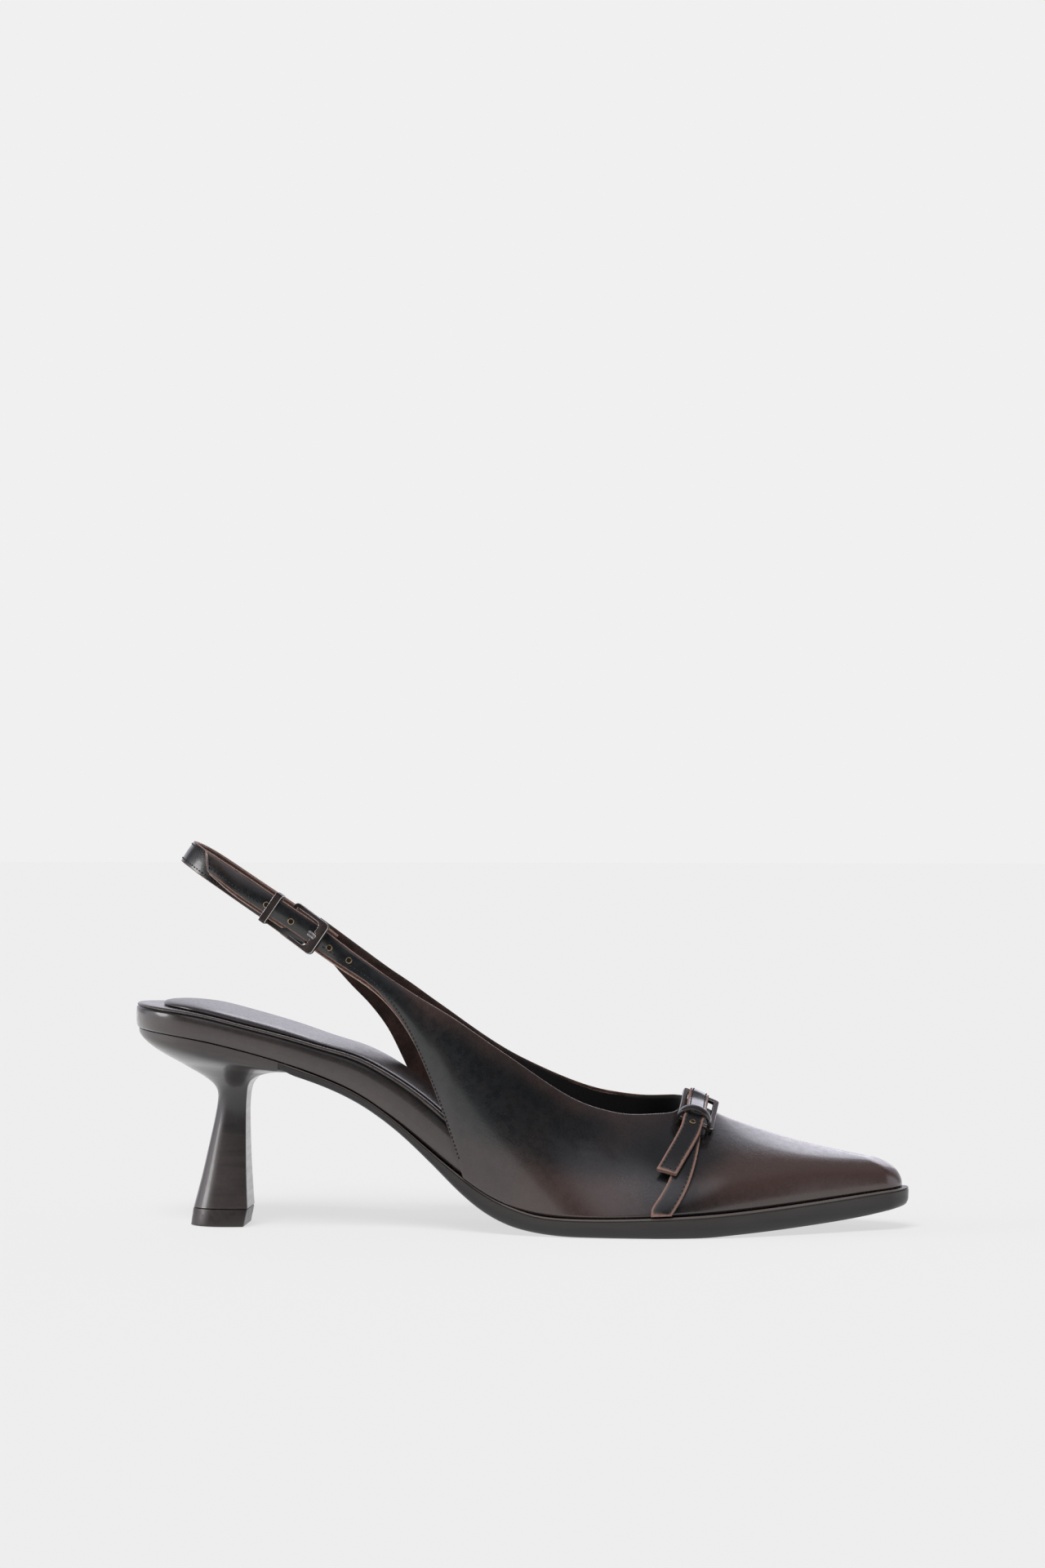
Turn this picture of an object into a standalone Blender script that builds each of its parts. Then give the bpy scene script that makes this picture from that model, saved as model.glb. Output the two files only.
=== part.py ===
"""Slingback pump with a pointed toe and a mid heel, right shoe, size EU 37.

The shoe stands on its heel tip and forefoot. X runs from the heel to the toe, +Y is the medial
side and -Y the lateral side with the buckles, and Z is up. The tables hold 250ths of the shoe's
length, measured from the back of the heel, from the middle of the heel and from the floor.
"""

import math

import bmesh
import bpy
import numpy as np
from mathutils import Matrix, Vector

# Driving dimensions, in metres
LENGTH = 0.250
UNIT = LENGTH / 250
GAP = 0.0003
UPPER_WALL = 0.0015
SLING_THICKNESS = 0.0015
STRAP_THICKNESS = 0.0014
SLING_WIDTH = 0.0077
VAMP_STRAP_WIDTH = 0.0070
METAL_THICKNESS = 0.0013
MIDDLE_Y = 0.0004

LATERAL, MEDIAL = -1, 1

# Plan of the sole: middle line, and the half width to each side of it
PLAN_COLUMNS = ("at", "middle", "lateral", "medial")
PLAN = (
    (0, 0.0, 25.0, 25.0),
    (15, 0.0, 26.2, 26.2),
    (30, 0.0, 27.0, 27.0),
    (50, 0.0, 25.8, 25.5),
    (75, 0.0, 23.9, 23.0),
    (95, 0.0, 23.9, 21.8),
    (115, 0.0, 26.3, 22.5),
    (135, 0.0, 31.0, 26.8),
    (155, 0.2, 35.2, 33.0),
    (170, 0.6, 36.2, 35.4),
    (185, 1.1, 34.2, 34.4),
    (205, 2.1, 27.6, 28.4),
    (225, 3.0, 18.0, 18.6),
    (240, 3.4, 10.4, 10.6),
    (250, 3.6, 6.0, 6.0),
)

# Side view: top and bottom of the outsole, height of the footbed's band and of the sock's pad
SIDE_COLUMNS = ("at", "top", "bottom", "band", "pad")
SIDE = (
    (0, 64.0, 61.4, 8.0, 1.7),
    (22, 61.1, 58.4, 8.5, 1.8),
    (38, 57.4, 54.6, 8.3, 1.8),
    (52, 53.3, 50.6, 8.8, 1.4),
    (62, 49.7, 47.1, 9.4, 0.9),
    (74, 44.3, 41.4, 11.4, 0.7),
    (86, 36.1, 33.1, 13.2, 0.7),
    (98, 25.8, 22.0, 14.8, 0.7),
    (108, 17.9, 12.2, 13.6, 1.0),
    (116, 12.5, 6.2, 10.6, 1.2),
    (125, 8.5, 2.3, 7.6, 1.4),
    (134, 6.2, 0.65, 5.4, 1.6),
    (143, 5.8, 0.0, 4.4, 1.6),
    (183, 7.1, 0.0, 3.8, 1.6),
    (196, 8.0, 1.2, 3.4, 1.5),
    (216, 9.9, 3.3, 3.0, 1.2),
    (240, 12.5, 6.2, 2.6, 1.0),
    (250, 13.5, 7.8, 2.6, 1.0),
)

# Heel sections from the top piece up to the seat
HEEL_COLUMNS = ("row", "back_x", "back_z", "front_x", "front_z", "half_width")
HEEL = (
    (0, 18.6, 5.8, 37.2, 5.8, 9.9),
    (1, 21.3, 15.9, 36.7, 15.9, 8.4),
    (2, 23.6, 26.0, 36.4, 26.0, 7.1),
    (3, 26.0, 37.0, 36.3, 37.0, 6.1),
    (4, 26.6, 42.0, 36.6, 42.2, 6.4),
    (5, 25.8, 44.8, 37.2, 45.4, 8.0),
    (6, 22.6, 47.8, 39.4, 48.0, 11.8),
    (7, 16.2, 51.6, 43.8, 49.8, 17.0),
    (8, 10.0, 55.6, 48.0, 50.6, 21.2),
    (9, 4.2, 60.2, 52.2, 50.7, 24.4),
    (10, 0.9, 63.5, 52.4, 52.9, 25.6),
)
HEEL_SEAT_ROW = 10
# Top piece: its foot, its bottom edge and its top
HEEL_TIP = (
    (17.7, 0.0, 35.9, 0.0, 10.2),
    (17.75, 0.5, 36.1, 0.5, 10.3),
    (18.5, 5.5, 37.1, 5.5, 9.9),
)

# Rib by rib from the toe: where each rib starts on the feather line
FEATHER_COLUMNS = ("rib", "x")
FEATHER = (
    (0, 247.9),
    (0.5, 247.6),
    (1, 246.9),
    (1.5, 245.4),
    (2, 243.0),
    (3, 234.5),
    (4, 222.0),
    (6, 193.0),
    (7, 181.0),
    (8, 171.0),
    (10, 150.0),
    (12, 127.0),
)
CORNER_RIB = 14
FEATHER_GAP = 0.65
FOOTBED_GAP = 0.45
THROAT_RIB = 7

# The ridge of the vamp, shared by both sides
EDGE_COLUMNS = ("rib", "x", "y", "z")
RIDGE = (
    (0, 238.5, 3.4, 22.9),
    (2, 232.5, 3.3, 24.3),
    (4, 215.0, 3.2, 28.3),
    (6, 191.0, 3.7, 35.9),
    (7, 178.6, 4.2, 41.2),
)
LATERAL_TOPLINE = (
    (7.25, 178.3, 1.2, 40.3),
    (7.6, 176.9, -2.8, 38.7),
    (8, 173.8, -6.9, 37.7),
    (9, 162.5, -13.8, 37.7),
    (10, 149.5, -18.2, 40.5),
    (12, 122.8, -23.2, 56.8),
    (14, 105.0, -25.0, 69.0),
    (16, 94.0, -25.3, 75.6),
    (18, 85.2, -25.0, 81.3),
    (20, 79.0, -24.5, 85.5),
    (21, 74.3, -23.8, 88.7),
    (22, 67.6, -22.8, 93.6),
    (23, 59.8, -22.9, 99.5),
    (24, 49.2, -22.8, 106.5),
    (25, 38.1, -21.3, 113.8),
    (26, 24.7, -17.0, 121.9),
)
MEDIAL_TOPLINE = (
    (7.25, 178.3, 6.8, 41.7),
    (7.6, 177.2, 9.4, 42.1),
    (8, 174.7, 11.8, 42.2),
    (9, 165.0, 15.2, 41.8),
    (10, 153.0, 18.6, 42.9),
    (12, 124.0, 23.0, 53.2),
    (14, 98.5, 24.9, 69.4),
    (16, 87.5, 25.0, 77.2),
    (18, 80.2, 24.6, 82.1),
    (20, 73.0, 24.1, 87.3),
    (21, 69.0, 23.9, 90.2),
    (22, 62.5, 23.4, 95.0),
    (23, 57.3, 22.9, 98.8),
)

# The back edge of each quarter, from its corner at the sole up to the strap
LATERAL_CORNER_X = 108.5
MEDIAL_CORNER_X = 96.0
LATERAL_BACK = (
    (15, 102.5, -25.2, 36.0),
    (16, 97.8, -25.7, 48.7),
    (17, 91.4, -26.0, 62.5),
    (18, 85.2, -25.8, 71.3),
    (19, 80.0, -25.3, 76.4),
    (20, 75.2, -24.6, 79.9),
    (21, 69.6, -23.8, 83.4),
    (22, 63.4, -22.8, 87.4),
    (23, 55.5, -22.9, 93.1),
    (24, 44.9, -22.8, 100.1),
    (25, 33.8, -21.2, 107.4),
    (26, 25.7, -17.5, 113.6),
)
MEDIAL_BACK = (
    (15, 91.6, 24.0, 36.5),
    (16, 87.7, 24.8, 44.9),
    (17, 83.1, 25.2, 54.7),
    (18, 79.3, 25.2, 62.2),
    (19, 73.3, 24.9, 70.3),
    (20, 67.7, 24.4, 76.2),
    (21, 63.2, 24.0, 81.2),
    (22, 57.6, 23.4, 87.6),
    (23, 53.0, 22.9, 92.3),
)

# The bow of each rib: the way it faces, how far it counts as a quarter, and its handles
BOW_COLUMNS = ("rib", "facing", "quarter", "low_up", "bulge", "top_out", "top_drop")
BOW = (
    (0, 90, 0.0, 0.50, 0.3, 0.55, 0.02),
    (1, 58, 0.0, 0.50, 0.4, 0.52, 0.02),
    (2, 36, 0.0, 0.52, 0.6, 0.46, 0.02),
    (4, 26, 0.0, 0.56, 0.8, 0.36, 0.03),
    (6, 17, 0.0, 0.50, 0.8, 0.22, 0.10),
    (7, 8, 0.05, 0.45, 0.9, 0.18, 0.15),
    (8, 3, 0.40, 0.50, 1.2, 0.16, 0.09),
    (9, 0, 0.75, 0.50, 1.8, 0.16, 0.09),
    (10, -4, 0.95, 0.50, 2.4, 0.16, 0.09),
    (12, -7, 1.0, 0.50, 2.8, 0.16, 0.09),
    (14, -5, 1.0, 0.50, 2.4, 0.16, 0.09),
    (16, 0, 1.0, 0.50, 1.4, 0.16, 0.09),
    (18, 0, 1.0, 0.50, 0.7, 0.16, 0.09),
    (21, 0, 1.0, 0.50, 0.1, 0.16, 0.09),
    (26, 0, 1.0, 0.50, 0.0, 0.16, 0.09),
)

# Outer face of the sling strap, from the buckle round the heel to the medial quarter
LOOP_COLUMNS = ("step", "x", "y", "z")
LOOP = (
    (0, 50.5, -20.8, 101.0),
    (1, 47.0, -20.5, 103.2),
    (2, 36.0, -18.6, 110.5),
    (3, 27.0, -15.2, 116.3),
    (4, 21.0, -10.4, 119.8),
    (5, 17.6, -5.2, 121.0),
    (6, 16.5, 0.0, 121.3),
    (7, 17.9, 5.4, 120.5),
    (8, 21.6, 10.8, 118.1),
    (9, 27.5, 15.4, 113.8),
    (10, 36.5, 18.6, 107.4),
    (11, 47.0, 20.4, 100.2),
    (12, 56.0, 21.0, 93.9),
    (13, 61.0, 21.3, 90.0),
)
STRAP_LEAN = math.radians(34.5)

# Vamp strap: its middle rib, and its height above the upper, from the lateral sole edge
STRAP_COLUMNS = ("place", "rib", "rise")
VAMP_BASE = (
    (0.03, 7.93, 0.5),
    (0.22, 7.42, 0.5),
    (0.45, 7.12, 0.5),
    (0.60, 6.98, 0.5),
)
VAMP_LONG = (
    (0.30, 7.86, 2.4),
    (0.45, 7.36, 2.7),
    (0.56, 7.01, 3.5),
    (0.62, 6.89, 4.9),
    (0.68, 6.82, 5.0),
    (0.76, 6.74, 3.7),
    (0.90, 6.62, 1.4),
    (1.00, 6.53, 0.8),
    (1.12, 6.54, 0.8),
    (1.50, 6.88, 0.8),
    (1.97, 7.55, 0.8),
)
BUCKLE_BARS = ((0.645, 6.86, 3.4), (1.02, 6.52, 4.3))
KEEPER_PLACE = 0.55


def slopes(x, y):
    """Slope at each point of a monotone cubic: the weighted harmonic mean of its neighbours."""
    step = np.diff(x)
    rise = np.diff(y) / step
    slope = np.concatenate([rise[:1], np.zeros(len(x) - 2), rise[-1:]])
    for k in range(1, len(x) - 1):
        if rise[k - 1] * rise[k] > 0:
            before = 2 * step[k] + step[k - 1]
            after = step[k] + 2 * step[k - 1]
            slope[k] = (before + after) / (before / rise[k - 1] + after / rise[k])
    return slope


def through(x, y, at):
    """The monotone cubic through the points (x, y), read at each value of at."""
    at = np.clip(at, x[0], x[-1])
    k = np.clip(np.searchsorted(x, at, side="right") - 1, 0, len(x) - 2)
    step = x[k + 1] - x[k]
    t = (at - x[k]) / step
    slope = slopes(x, y)
    start = (1 + 2 * t) * (1 - t) ** 2 * y[k] + t * (1 - t) ** 2 * step * slope[k]
    end = t**2 * (3 - 2 * t) * y[k + 1] - t**2 * (1 - t) * step * slope[k + 1]
    return start + end


def read(table, columns, name, at, reach=0.0):
    """One column of a table at each value of at, as a weighted mean over a span of 2 * reach."""
    x = np.array([row[0] for row in table], float)
    y = np.array([row[columns.index(name)] for row in table], float)
    at = np.clip(np.asarray(at, float), x[0], x[-1])
    span = np.minimum(reach, np.minimum(at - x[0], x[-1] - at))
    shares = ((-1.0, 1), (-0.5, 2), (0.0, 3), (0.5, 2), (1.0, 1))
    total = sum(weight for _, weight in shares)
    return sum(weight * through(x, y, at + shift * span) for shift, weight in shares) / total


def sole_top(x):
    return read(SIDE, SIDE_COLUMNS, "top", x, 5.0)


def sole_bottom(x):
    return read(SIDE, SIDE_COLUMNS, "bottom", x, 0.0)


def blend(x, start, end):
    """0 before start, 1 after end, and a smooth step between."""
    t = np.clip((x - start) / (end - start), 0.0, 1.0)
    return t * t * (3 - 2 * t)


def plan_y(x, side, inset, first, last, heel_radius, toe_radius):
    """Y of an outline inside the sole's plan, closed at its ends by quarter ellipses."""
    half = read(PLAN, PLAN_COLUMNS, "lateral" if side == LATERAL else "medial", x, 5.0) - inset
    heel = np.clip((x - first) / heel_radius, 0.0, 1.0) if heel_radius else np.ones_like(x)
    toe = np.clip((last - x) / toe_radius, 0.0, 1.0)
    half = half * np.sqrt(1 - (1 - heel) ** 2) * np.sqrt(1 - (1 - toe) ** 2)
    return read(PLAN, PLAN_COLUMNS, "middle", x, 5.0) + side * half


def outline(first, last, inset, heel_radius, toe_radius, count):
    """Closed plan outline: heel point, lateral side, toe point, then the medial side back."""
    turn = np.linspace(0, math.pi, count + 1)
    x = first + (last - first) * (1 - np.cos(turn)) / 2
    if not heel_radius:
        x = np.concatenate([x[:1], x])
    sides = [plan_y(x, side, inset(x), first, last, heel_radius, toe_radius) for side in (LATERAL, MEDIAL)]
    middle = read(PLAN, PLAN_COLUMNS, "middle", x[[0, -1]])
    lateral = np.column_stack([x, sides[0]])[1:-1]
    medial = np.column_stack([x, sides[1]])[1:-1]
    return np.concatenate([[(x[0], middle[0])], lateral, [(x[-1], middle[1])], medial[::-1]])


def moved_in(loop, distance):
    """The outline moved inwards, each point along the normal of its neighbours' chord."""
    chord = np.roll(loop, -1, axis=0) - np.roll(loop, 1, axis=0)
    inward = np.column_stack([-chord[:, 1], chord[:, 0]])
    inward /= np.linalg.norm(inward, axis=1)[:, None]
    return loop + inward * np.asarray(distance).reshape(-1, 1)


def add_object(name, mesh, material, collection):
    item = bpy.data.objects.new(name, mesh)
    mesh.materials.append(material)
    collection.objects.link(item)
    return item


def mesh_from(name, points, faces, sharp=35.0):
    """A mesh from points in table units, with coincident points joined and faces turned out."""
    mesh = bpy.data.meshes.new(name)
    mesh.from_pydata([tuple(point * UNIT) for point in points], [], faces)
    work = bmesh.new()
    work.from_mesh(mesh)
    bmesh.ops.remove_doubles(work, verts=work.verts, dist=1e-6)
    bmesh.ops.dissolve_degenerate(work, edges=work.edges, dist=1e-7)
    bmesh.ops.recalc_face_normals(work, faces=work.faces)
    work.to_mesh(mesh)
    work.free()
    mesh.shade_smooth()
    mesh.set_sharp_from_angle(angle=math.radians(sharp))
    return mesh


def stacked(name, rings, sharp=35.0):
    """A closed solid from rings stacked upwards, its ends closed in strips across the outline."""
    count = len(rings[0])
    half = count // 2
    faces = []
    for level in range(len(rings) - 1):
        low = level * count
        high = low + count
        for k in range(count):
            after = (k + 1) % count
            faces.append((low + k, low + after, high + after, high + k))
    for base in (0, (len(rings) - 1) * count):
        faces.append((base, base + 1, base + count - 1))
        faces.append((base + half - 1, base + half, base + half + 1))
        for k in range(1, half - 1):
            faces.append((base + k, base + k + 1, base + count - k - 1, base + count - k))
    return mesh_from(name, np.concatenate(rings), faces, sharp)


def make_slab(name, loop, layers, sharp=35.0):
    """A slab over an outline: each layer is an inset and a height function of x."""
    rings = []
    for inset, height in layers:
        ring = moved_in(loop, inset)
        rings.append(np.column_stack([ring, height(ring[:, 0])]))
    return stacked(name, rings, sharp)


def outsole_mesh():
    """Thin in the shank, with a chamfered underside and a welt edge."""

    def inset(x):
        return 0.6 * (1 - blend(x, 108, 140))

    loop = outline(53.0, 250.0, inset, 0, 6.0, 60)

    def share(part):
        return lambda x: sole_bottom(x) + part * (sole_top(x) - sole_bottom(x))

    layers = ((1.3, share(0)), (0.35, share(0.2)), (0.0, share(0.75)), (0.2, share(1)))
    return make_slab("outsole", loop, layers)


def footbed_inset(x):
    """The band sits at the sole's edge behind the quarters and inside the wall under them."""
    return 0.3 + 1.6 * blend(x, 80, 99) + 2.3 * blend(x, 112, 138)


def footbed_mesh():
    loop = outline(0.0, 243.0, footbed_inset, 25.0, 5.0, 44)

    def share(part):
        return lambda x: sole_top(x) + FOOTBED_GAP + part * read(SIDE, SIDE_COLUMNS, "band", x, 5.0)

    layers = (
        (0.9, share(0)),
        (0.2, share(0.1)),
        (0.0, share(0.5)),
        (0.2, share(0.82)),
        (0.7, share(0.86)),
        (0.35, share(0.91)),
        (0.9, share(1)),
    )
    return make_slab("footbed", loop, layers, 60.0)


def footbed_top(x):
    return sole_top(x) + FOOTBED_GAP + read(SIDE, SIDE_COLUMNS, "band", x, 5.0)


def sock_mesh():
    """Padded sock, inset from the footbed's lip."""

    def inset(x):
        return footbed_inset(x) + 3.4 + 0.6 * blend(x, 112, 138)

    loop = outline(9.0, 240.0, inset, 20.0, 4.0, 40)

    def share(part):
        return lambda x: footbed_top(x) + 0.6 + part * read(SIDE, SIDE_COLUMNS, "pad", x, 5.0)

    layers = ((0.5, share(0)), (0.0, share(0.25)), (0.9, share(0.6)), (3.5, share(0.85)), (8.0, share(1)))
    return make_slab("sock", loop, layers, 60.0)


def heel_ring(row, seat_share, count=15):
    """One heel section: round at the back, flat at the breast, and the sole's outline at the seat."""
    back_x, back_z, front_x, front_z, half_width = row
    turn = np.linspace(0, math.pi / 2, count)
    rounded = np.column_stack([1 - np.cos(turn), np.sin(turn)])
    along = np.concatenate([0.62 * rounded[:, 0], [0.75, 0.87, 0.96, 1.0, 1.0]])
    width = np.concatenate([rounded[:, 1], [1.0, 0.985, 0.93, 0.84, 0.5]])
    x = back_x + (front_x - back_x) * along
    z = back_z + (front_z - back_z) * along
    rings = []
    for side in (LATERAL, MEDIAL):
        seat = plan_y(x, side, 0.9, 0.9, 250, 25.0, 6.0)
        y = side * half_width * width * (1 - seat_share) + seat * seat_share
        y[along == 1.0] = side * half_width * width[along == 1.0]
        rings.append(np.column_stack([x, y, z]))
    front = np.array([[front_x, 0.0, front_z]])
    return np.concatenate([rings[0], front, rings[1][:0:-1]])


def heel_mesh():
    """Covered heel, flared down to its top piece and up to the seat under the sole."""
    steps = np.linspace(0, HEEL_SEAT_ROW, 29)
    values = np.column_stack([read(HEEL, HEEL_COLUMNS, name, steps, 0.5) for name in HEEL_COLUMNS[1:]])
    seat_share = blend(steps, HEEL_SEAT_ROW - 3, HEEL_SEAT_ROW)
    rings = [heel_ring(row, share) for row, share in zip(values, seat_share)]
    seat = rings[-1]
    seat[:, 2] = sole_top(seat[:, 0]) - GAP / UNIT
    return stacked("heel", rings, 50.0)


def heel_tip_mesh():
    """Top piece: the lowest heel section drawn down to the floor, a little longer at the bottom."""
    return stacked("heel_tip", [heel_ring(row, 0.0) for row in HEEL_TIP], 50.0)


def feather_inset(x):
    """The upper meets the sole inside the welt in front, and covers the band at its corners."""
    return -0.3 + 1.6 * blend(x, 112, 138)


def low_point(side, rib):
    """The start of each rib: on the feather line, and past the corner on the quarter's back edge."""
    corner_x = LATERAL_CORNER_X if side == LATERAL else MEDIAL_CORNER_X
    feather = FEATHER + ((CORNER_RIB, corner_x),)
    x = read(feather, FEATHER_COLUMNS, "x", rib, 0.3)
    y = plan_y(x, side, feather_inset(x), 0.0, FEATHER[0][1], 25.0, 5.0)
    z = sole_top(x) + FEATHER_GAP
    on_sole = np.stack([x, y, z], axis=-1)
    corner = on_sole_point(side, corner_x)
    back = ((CORNER_RIB,) + corner,) + (LATERAL_BACK if side == LATERAL else MEDIAL_BACK)
    edge = np.stack([read(back, EDGE_COLUMNS, name, rib) for name in ("x", "y", "z")], axis=-1)
    return np.where((rib <= CORNER_RIB)[..., None], on_sole, edge)


def on_sole_point(side, x):
    """The feather line at one x."""
    at = np.array([x], float)
    y = plan_y(at, side, feather_inset(at), 0.0, FEATHER[0][1], 25.0, 5.0)[0]
    return (x, float(y), float(sole_top(at)[0] + FEATHER_GAP))


def top_point(side, rib):
    """The end of each rib: on the ridge, and past the throat on the topline."""
    table = RIDGE[-1:] + (LATERAL_TOPLINE if side == LATERAL else MEDIAL_TOPLINE)
    line = np.stack([read(table, EDGE_COLUMNS, name, rib, 0.3) for name in ("x", "y", "z")], axis=-1)
    ridge = np.stack([read(RIDGE, EDGE_COLUMNS, name, rib, 0.3) for name in ("x", "y", "z")], axis=-1)
    return np.where((rib <= THROAT_RIB)[..., None], ridge, line)


def upper_point(side, rib, v):
    """Outer face of the upper. Each rib is a cubic Bezier from its low point to its top point.

    In front its handles stand up from the sole and lie level at the ridge. In the quarters they
    follow the chord, pushed out by the bulge.
    """
    rib, v = np.broadcast_arrays(np.asarray(rib, float), np.asarray(v, float))
    low = low_point(side, rib)
    top = top_point(side, rib)
    bow = {name: read(BOW, BOW_COLUMNS, name, rib, 0.4)[..., None] for name in BOW_COLUMNS[1:]}
    facing = np.radians(bow["facing"][..., 0])
    out = np.stack([np.sin(facing), side * np.cos(facing), np.zeros_like(facing)], axis=-1)
    up = np.array([0.0, 0.0, 1.0])
    chord = top - low
    height = chord[..., 2:]
    width = np.abs((chord * out).sum(axis=-1, keepdims=True))
    ridge_slope = -0.35
    level = out + up * ridge_slope * out[..., :1]
    quarter = bow["quarter"]
    low_handle = (1 - quarter) * bow["low_up"] * height * up + quarter * chord / 3
    top_handle = (1 - quarter) * (bow["top_out"] * width * level - bow["top_drop"] * height * up)
    top_handle = top_handle - quarter * chord / 3
    second = low + low_handle + out * bow["bulge"]
    third = top + top_handle + out * bow["bulge"] * quarter
    v = v[..., None]
    return (1 - v) ** 3 * low + 3 * v * (1 - v) ** 2 * second + 3 * v**2 * (1 - v) * third + v**3 * top


def upper_mesh():
    """Both sides of the upper as one sheet, joined along the ridge and the middle of the toe."""
    rise = np.linspace(0, 1, 8)
    points, faces = [], []
    for side, last_rib in ((LATERAL, 26), (MEDIAL, 23)):
        ribs = np.concatenate([np.arange(0, 1, 0.25), np.arange(1, last_rib + 0.01, 0.5)])
        grid = upper_point(side, ribs[:, None], rise[None, :])
        base = sum(len(part) for part in points)
        points.append(grid.reshape(-1, 3))
        across = len(rise)
        for i in range(len(ribs) - 1):
            for j in range(across - 1):
                at = base + i * across + j
                face = (at, at + across, at + across + 1, at + 1)
                faces.append(face if side == LATERAL else face[::-1])
    return mesh_from("upper", np.concatenate(points), faces)


def ribbon_mesh(name, centres, across, outward, widths, thickness):
    """A flat strap along a path: its inner face is at the centres, its outer face a thickness out."""
    rows = []
    for centre, side_way, out_way, width in zip(centres, across, outward, widths):
        low = centre - side_way * width / 2
        high = centre + side_way * width / 2
        rows.append([low, high, high + out_way * thickness, low + out_way * thickness])
    points = np.array(rows).reshape(-1, 3)
    faces = [(3, 2, 1, 0)]
    for i in range(len(rows) - 1):
        for k in range(4):
            after = (k + 1) % 4
            faces.append((4 * i + k, 4 * i + after, 4 * i + 4 + after, 4 * i + 4 + k))
    last = 4 * (len(rows) - 1)
    faces.append((last, last + 1, last + 2, last + 3))
    return mesh_from(name, points, faces)


def unit(vectors):
    return vectors / np.linalg.norm(vectors, axis=-1, keepdims=True)


def sling_frames(steps):
    """Points on the outer face of the sling strap, with its width and outward directions."""
    step = 0.01
    places = []
    for shift in (-step, 0.0, step):
        at = np.clip(steps + shift, 0, LOOP[-1][0])
        places.append(np.stack([read(LOOP, LOOP_COLUMNS, name, at, 0.5) for name in "xyz"], axis=-1))
    along = unit(places[2] - places[0])
    lean = np.array([math.sin(STRAP_LEAN), 0.0, math.cos(STRAP_LEAN)])
    outward = unit(np.cross(lean, along))
    across = unit(np.cross(outward, along))
    return places[1], across, outward


def sling_mesh():
    steps = np.linspace(0, LOOP[-1][0], 40)
    centres, across, outward = sling_frames(steps)
    thickness = SLING_THICKNESS / UNIT
    inner = centres - outward * thickness
    widths = np.full(len(steps), SLING_WIDTH / UNIT)
    return ribbon_mesh("sling_strap", inner, across, outward, widths, thickness)


def vamp_frames(table, places):
    """Points over the upper along the vamp strap, with its width and outward directions."""

    def surface(at, rib_shift=0.0):
        rib = read(table, STRAP_COLUMNS, "rib", at, 0.05) + rib_shift
        lateral = upper_point(LATERAL, rib, np.clip(at, 0, 1))
        medial = upper_point(MEDIAL, rib, np.clip(2 - at, 0, 1))
        return np.where((at <= 1)[:, None], lateral, medial)

    centres = surface(places)
    step = 0.02
    along = unit(surface(places + step) - surface(places - step))
    toeward = unit(surface(places, -0.1) - surface(places, 0.1))
    outward = unit(np.cross(toeward, along))
    outward = outward * np.sign(outward[:, 2:3] + 1e-9)
    across = unit(np.cross(outward, along))
    rise = read(table, STRAP_COLUMNS, "rise", places, 0.03)[:, None]
    return centres + outward * rise, across, outward, along


def vamp_strap_mesh(name, table, count):
    places = np.linspace(table[0][0], table[-1][0], count)
    centres, across, outward, _ = vamp_frames(table, places)
    widths = np.full(count, VAMP_STRAP_WIDTH / UNIT)
    return ribbon_mesh(name, centres, across, outward, widths, STRAP_THICKNESS / UNIT)


def rounded_box(width, height, radius, steps=3):
    """Outline of a rectangle with round corners, anticlockwise from its right side."""
    points = []
    for corner in range(4):
        turn = corner * math.pi / 2
        sign_x = 1 if corner in (0, 3) else -1
        sign_y = 1 if corner in (0, 1) else -1
        centre = (sign_x * (width / 2 - radius), sign_y * (height / 2 - radius))
        for k in range(steps + 1):
            angle = turn + k * math.pi / 2 / steps
            points.append((centre[0] + radius * math.cos(angle), centre[1] + radius * math.sin(angle)))
    return points


def plate(name, outlines, thickness, axes, material, collection):
    """A flat plate, as a filled 2D curve with holes, placed by its own axes (x, y, normal, origin)."""
    curve = bpy.data.curves.new(name, "CURVE")
    curve.dimensions = "2D"
    curve.fill_mode = "BOTH"
    curve.extrude = thickness / 2
    for points in outlines:
        spline = curve.splines.new("POLY")
        spline.points.add(len(points) - 1)
        for target, (x, y) in zip(spline.points, points):
            target.co = (x * UNIT, y * UNIT, 0.0, 1.0)
        spline.use_cyclic_u = True
    curve.materials.append(material)
    item = bpy.data.objects.new(name, curve)
    item.matrix_world = axes
    collection.objects.link(item)
    return item


def axes_from(along, across, origin):
    """A placing matrix in metres, with x along, y across and z out of the plate."""
    along = Vector(along).normalized()
    normal = along.cross(Vector(across)).normalized()
    across = normal.cross(along)
    matrix = Matrix((along, across, normal)).transposed().to_4x4()
    matrix.translation = Vector(origin) * UNIT
    return matrix


def sling_buckle_axes():
    """The frame lies from the sling strap at its hinge bar to the outside of the quarter's strap."""
    hinge = Vector((52.4, -20.4, 100.1))
    tongue = Vector((62.4, -25.2, 93.3))
    lean = Vector((math.sin(STRAP_LEAN), 0.0, math.cos(STRAP_LEAN)))
    along = (tongue - hinge).normalized()
    return axes_from(along, lean, hinge + along * 6.4)


def notched_hole():
    """Inside of the sling buckle: a window with a round seat for the prong on the toe side."""
    left, right, half = -5.6, 4.0, 4.4
    seat = 1.25
    turn = np.linspace(-math.pi / 2, math.pi / 2, 5)
    points = [(left, half), (left, -half), (right - 0.9, -half), (right, -half + 0.9), (right, -seat)]
    points += [(right + 1.2 * math.cos(a), seat * math.sin(a)) for a in turn[1:-1]]
    points += [(right, seat), (right, half - 0.9), (right - 0.9, half)]
    return points


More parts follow.
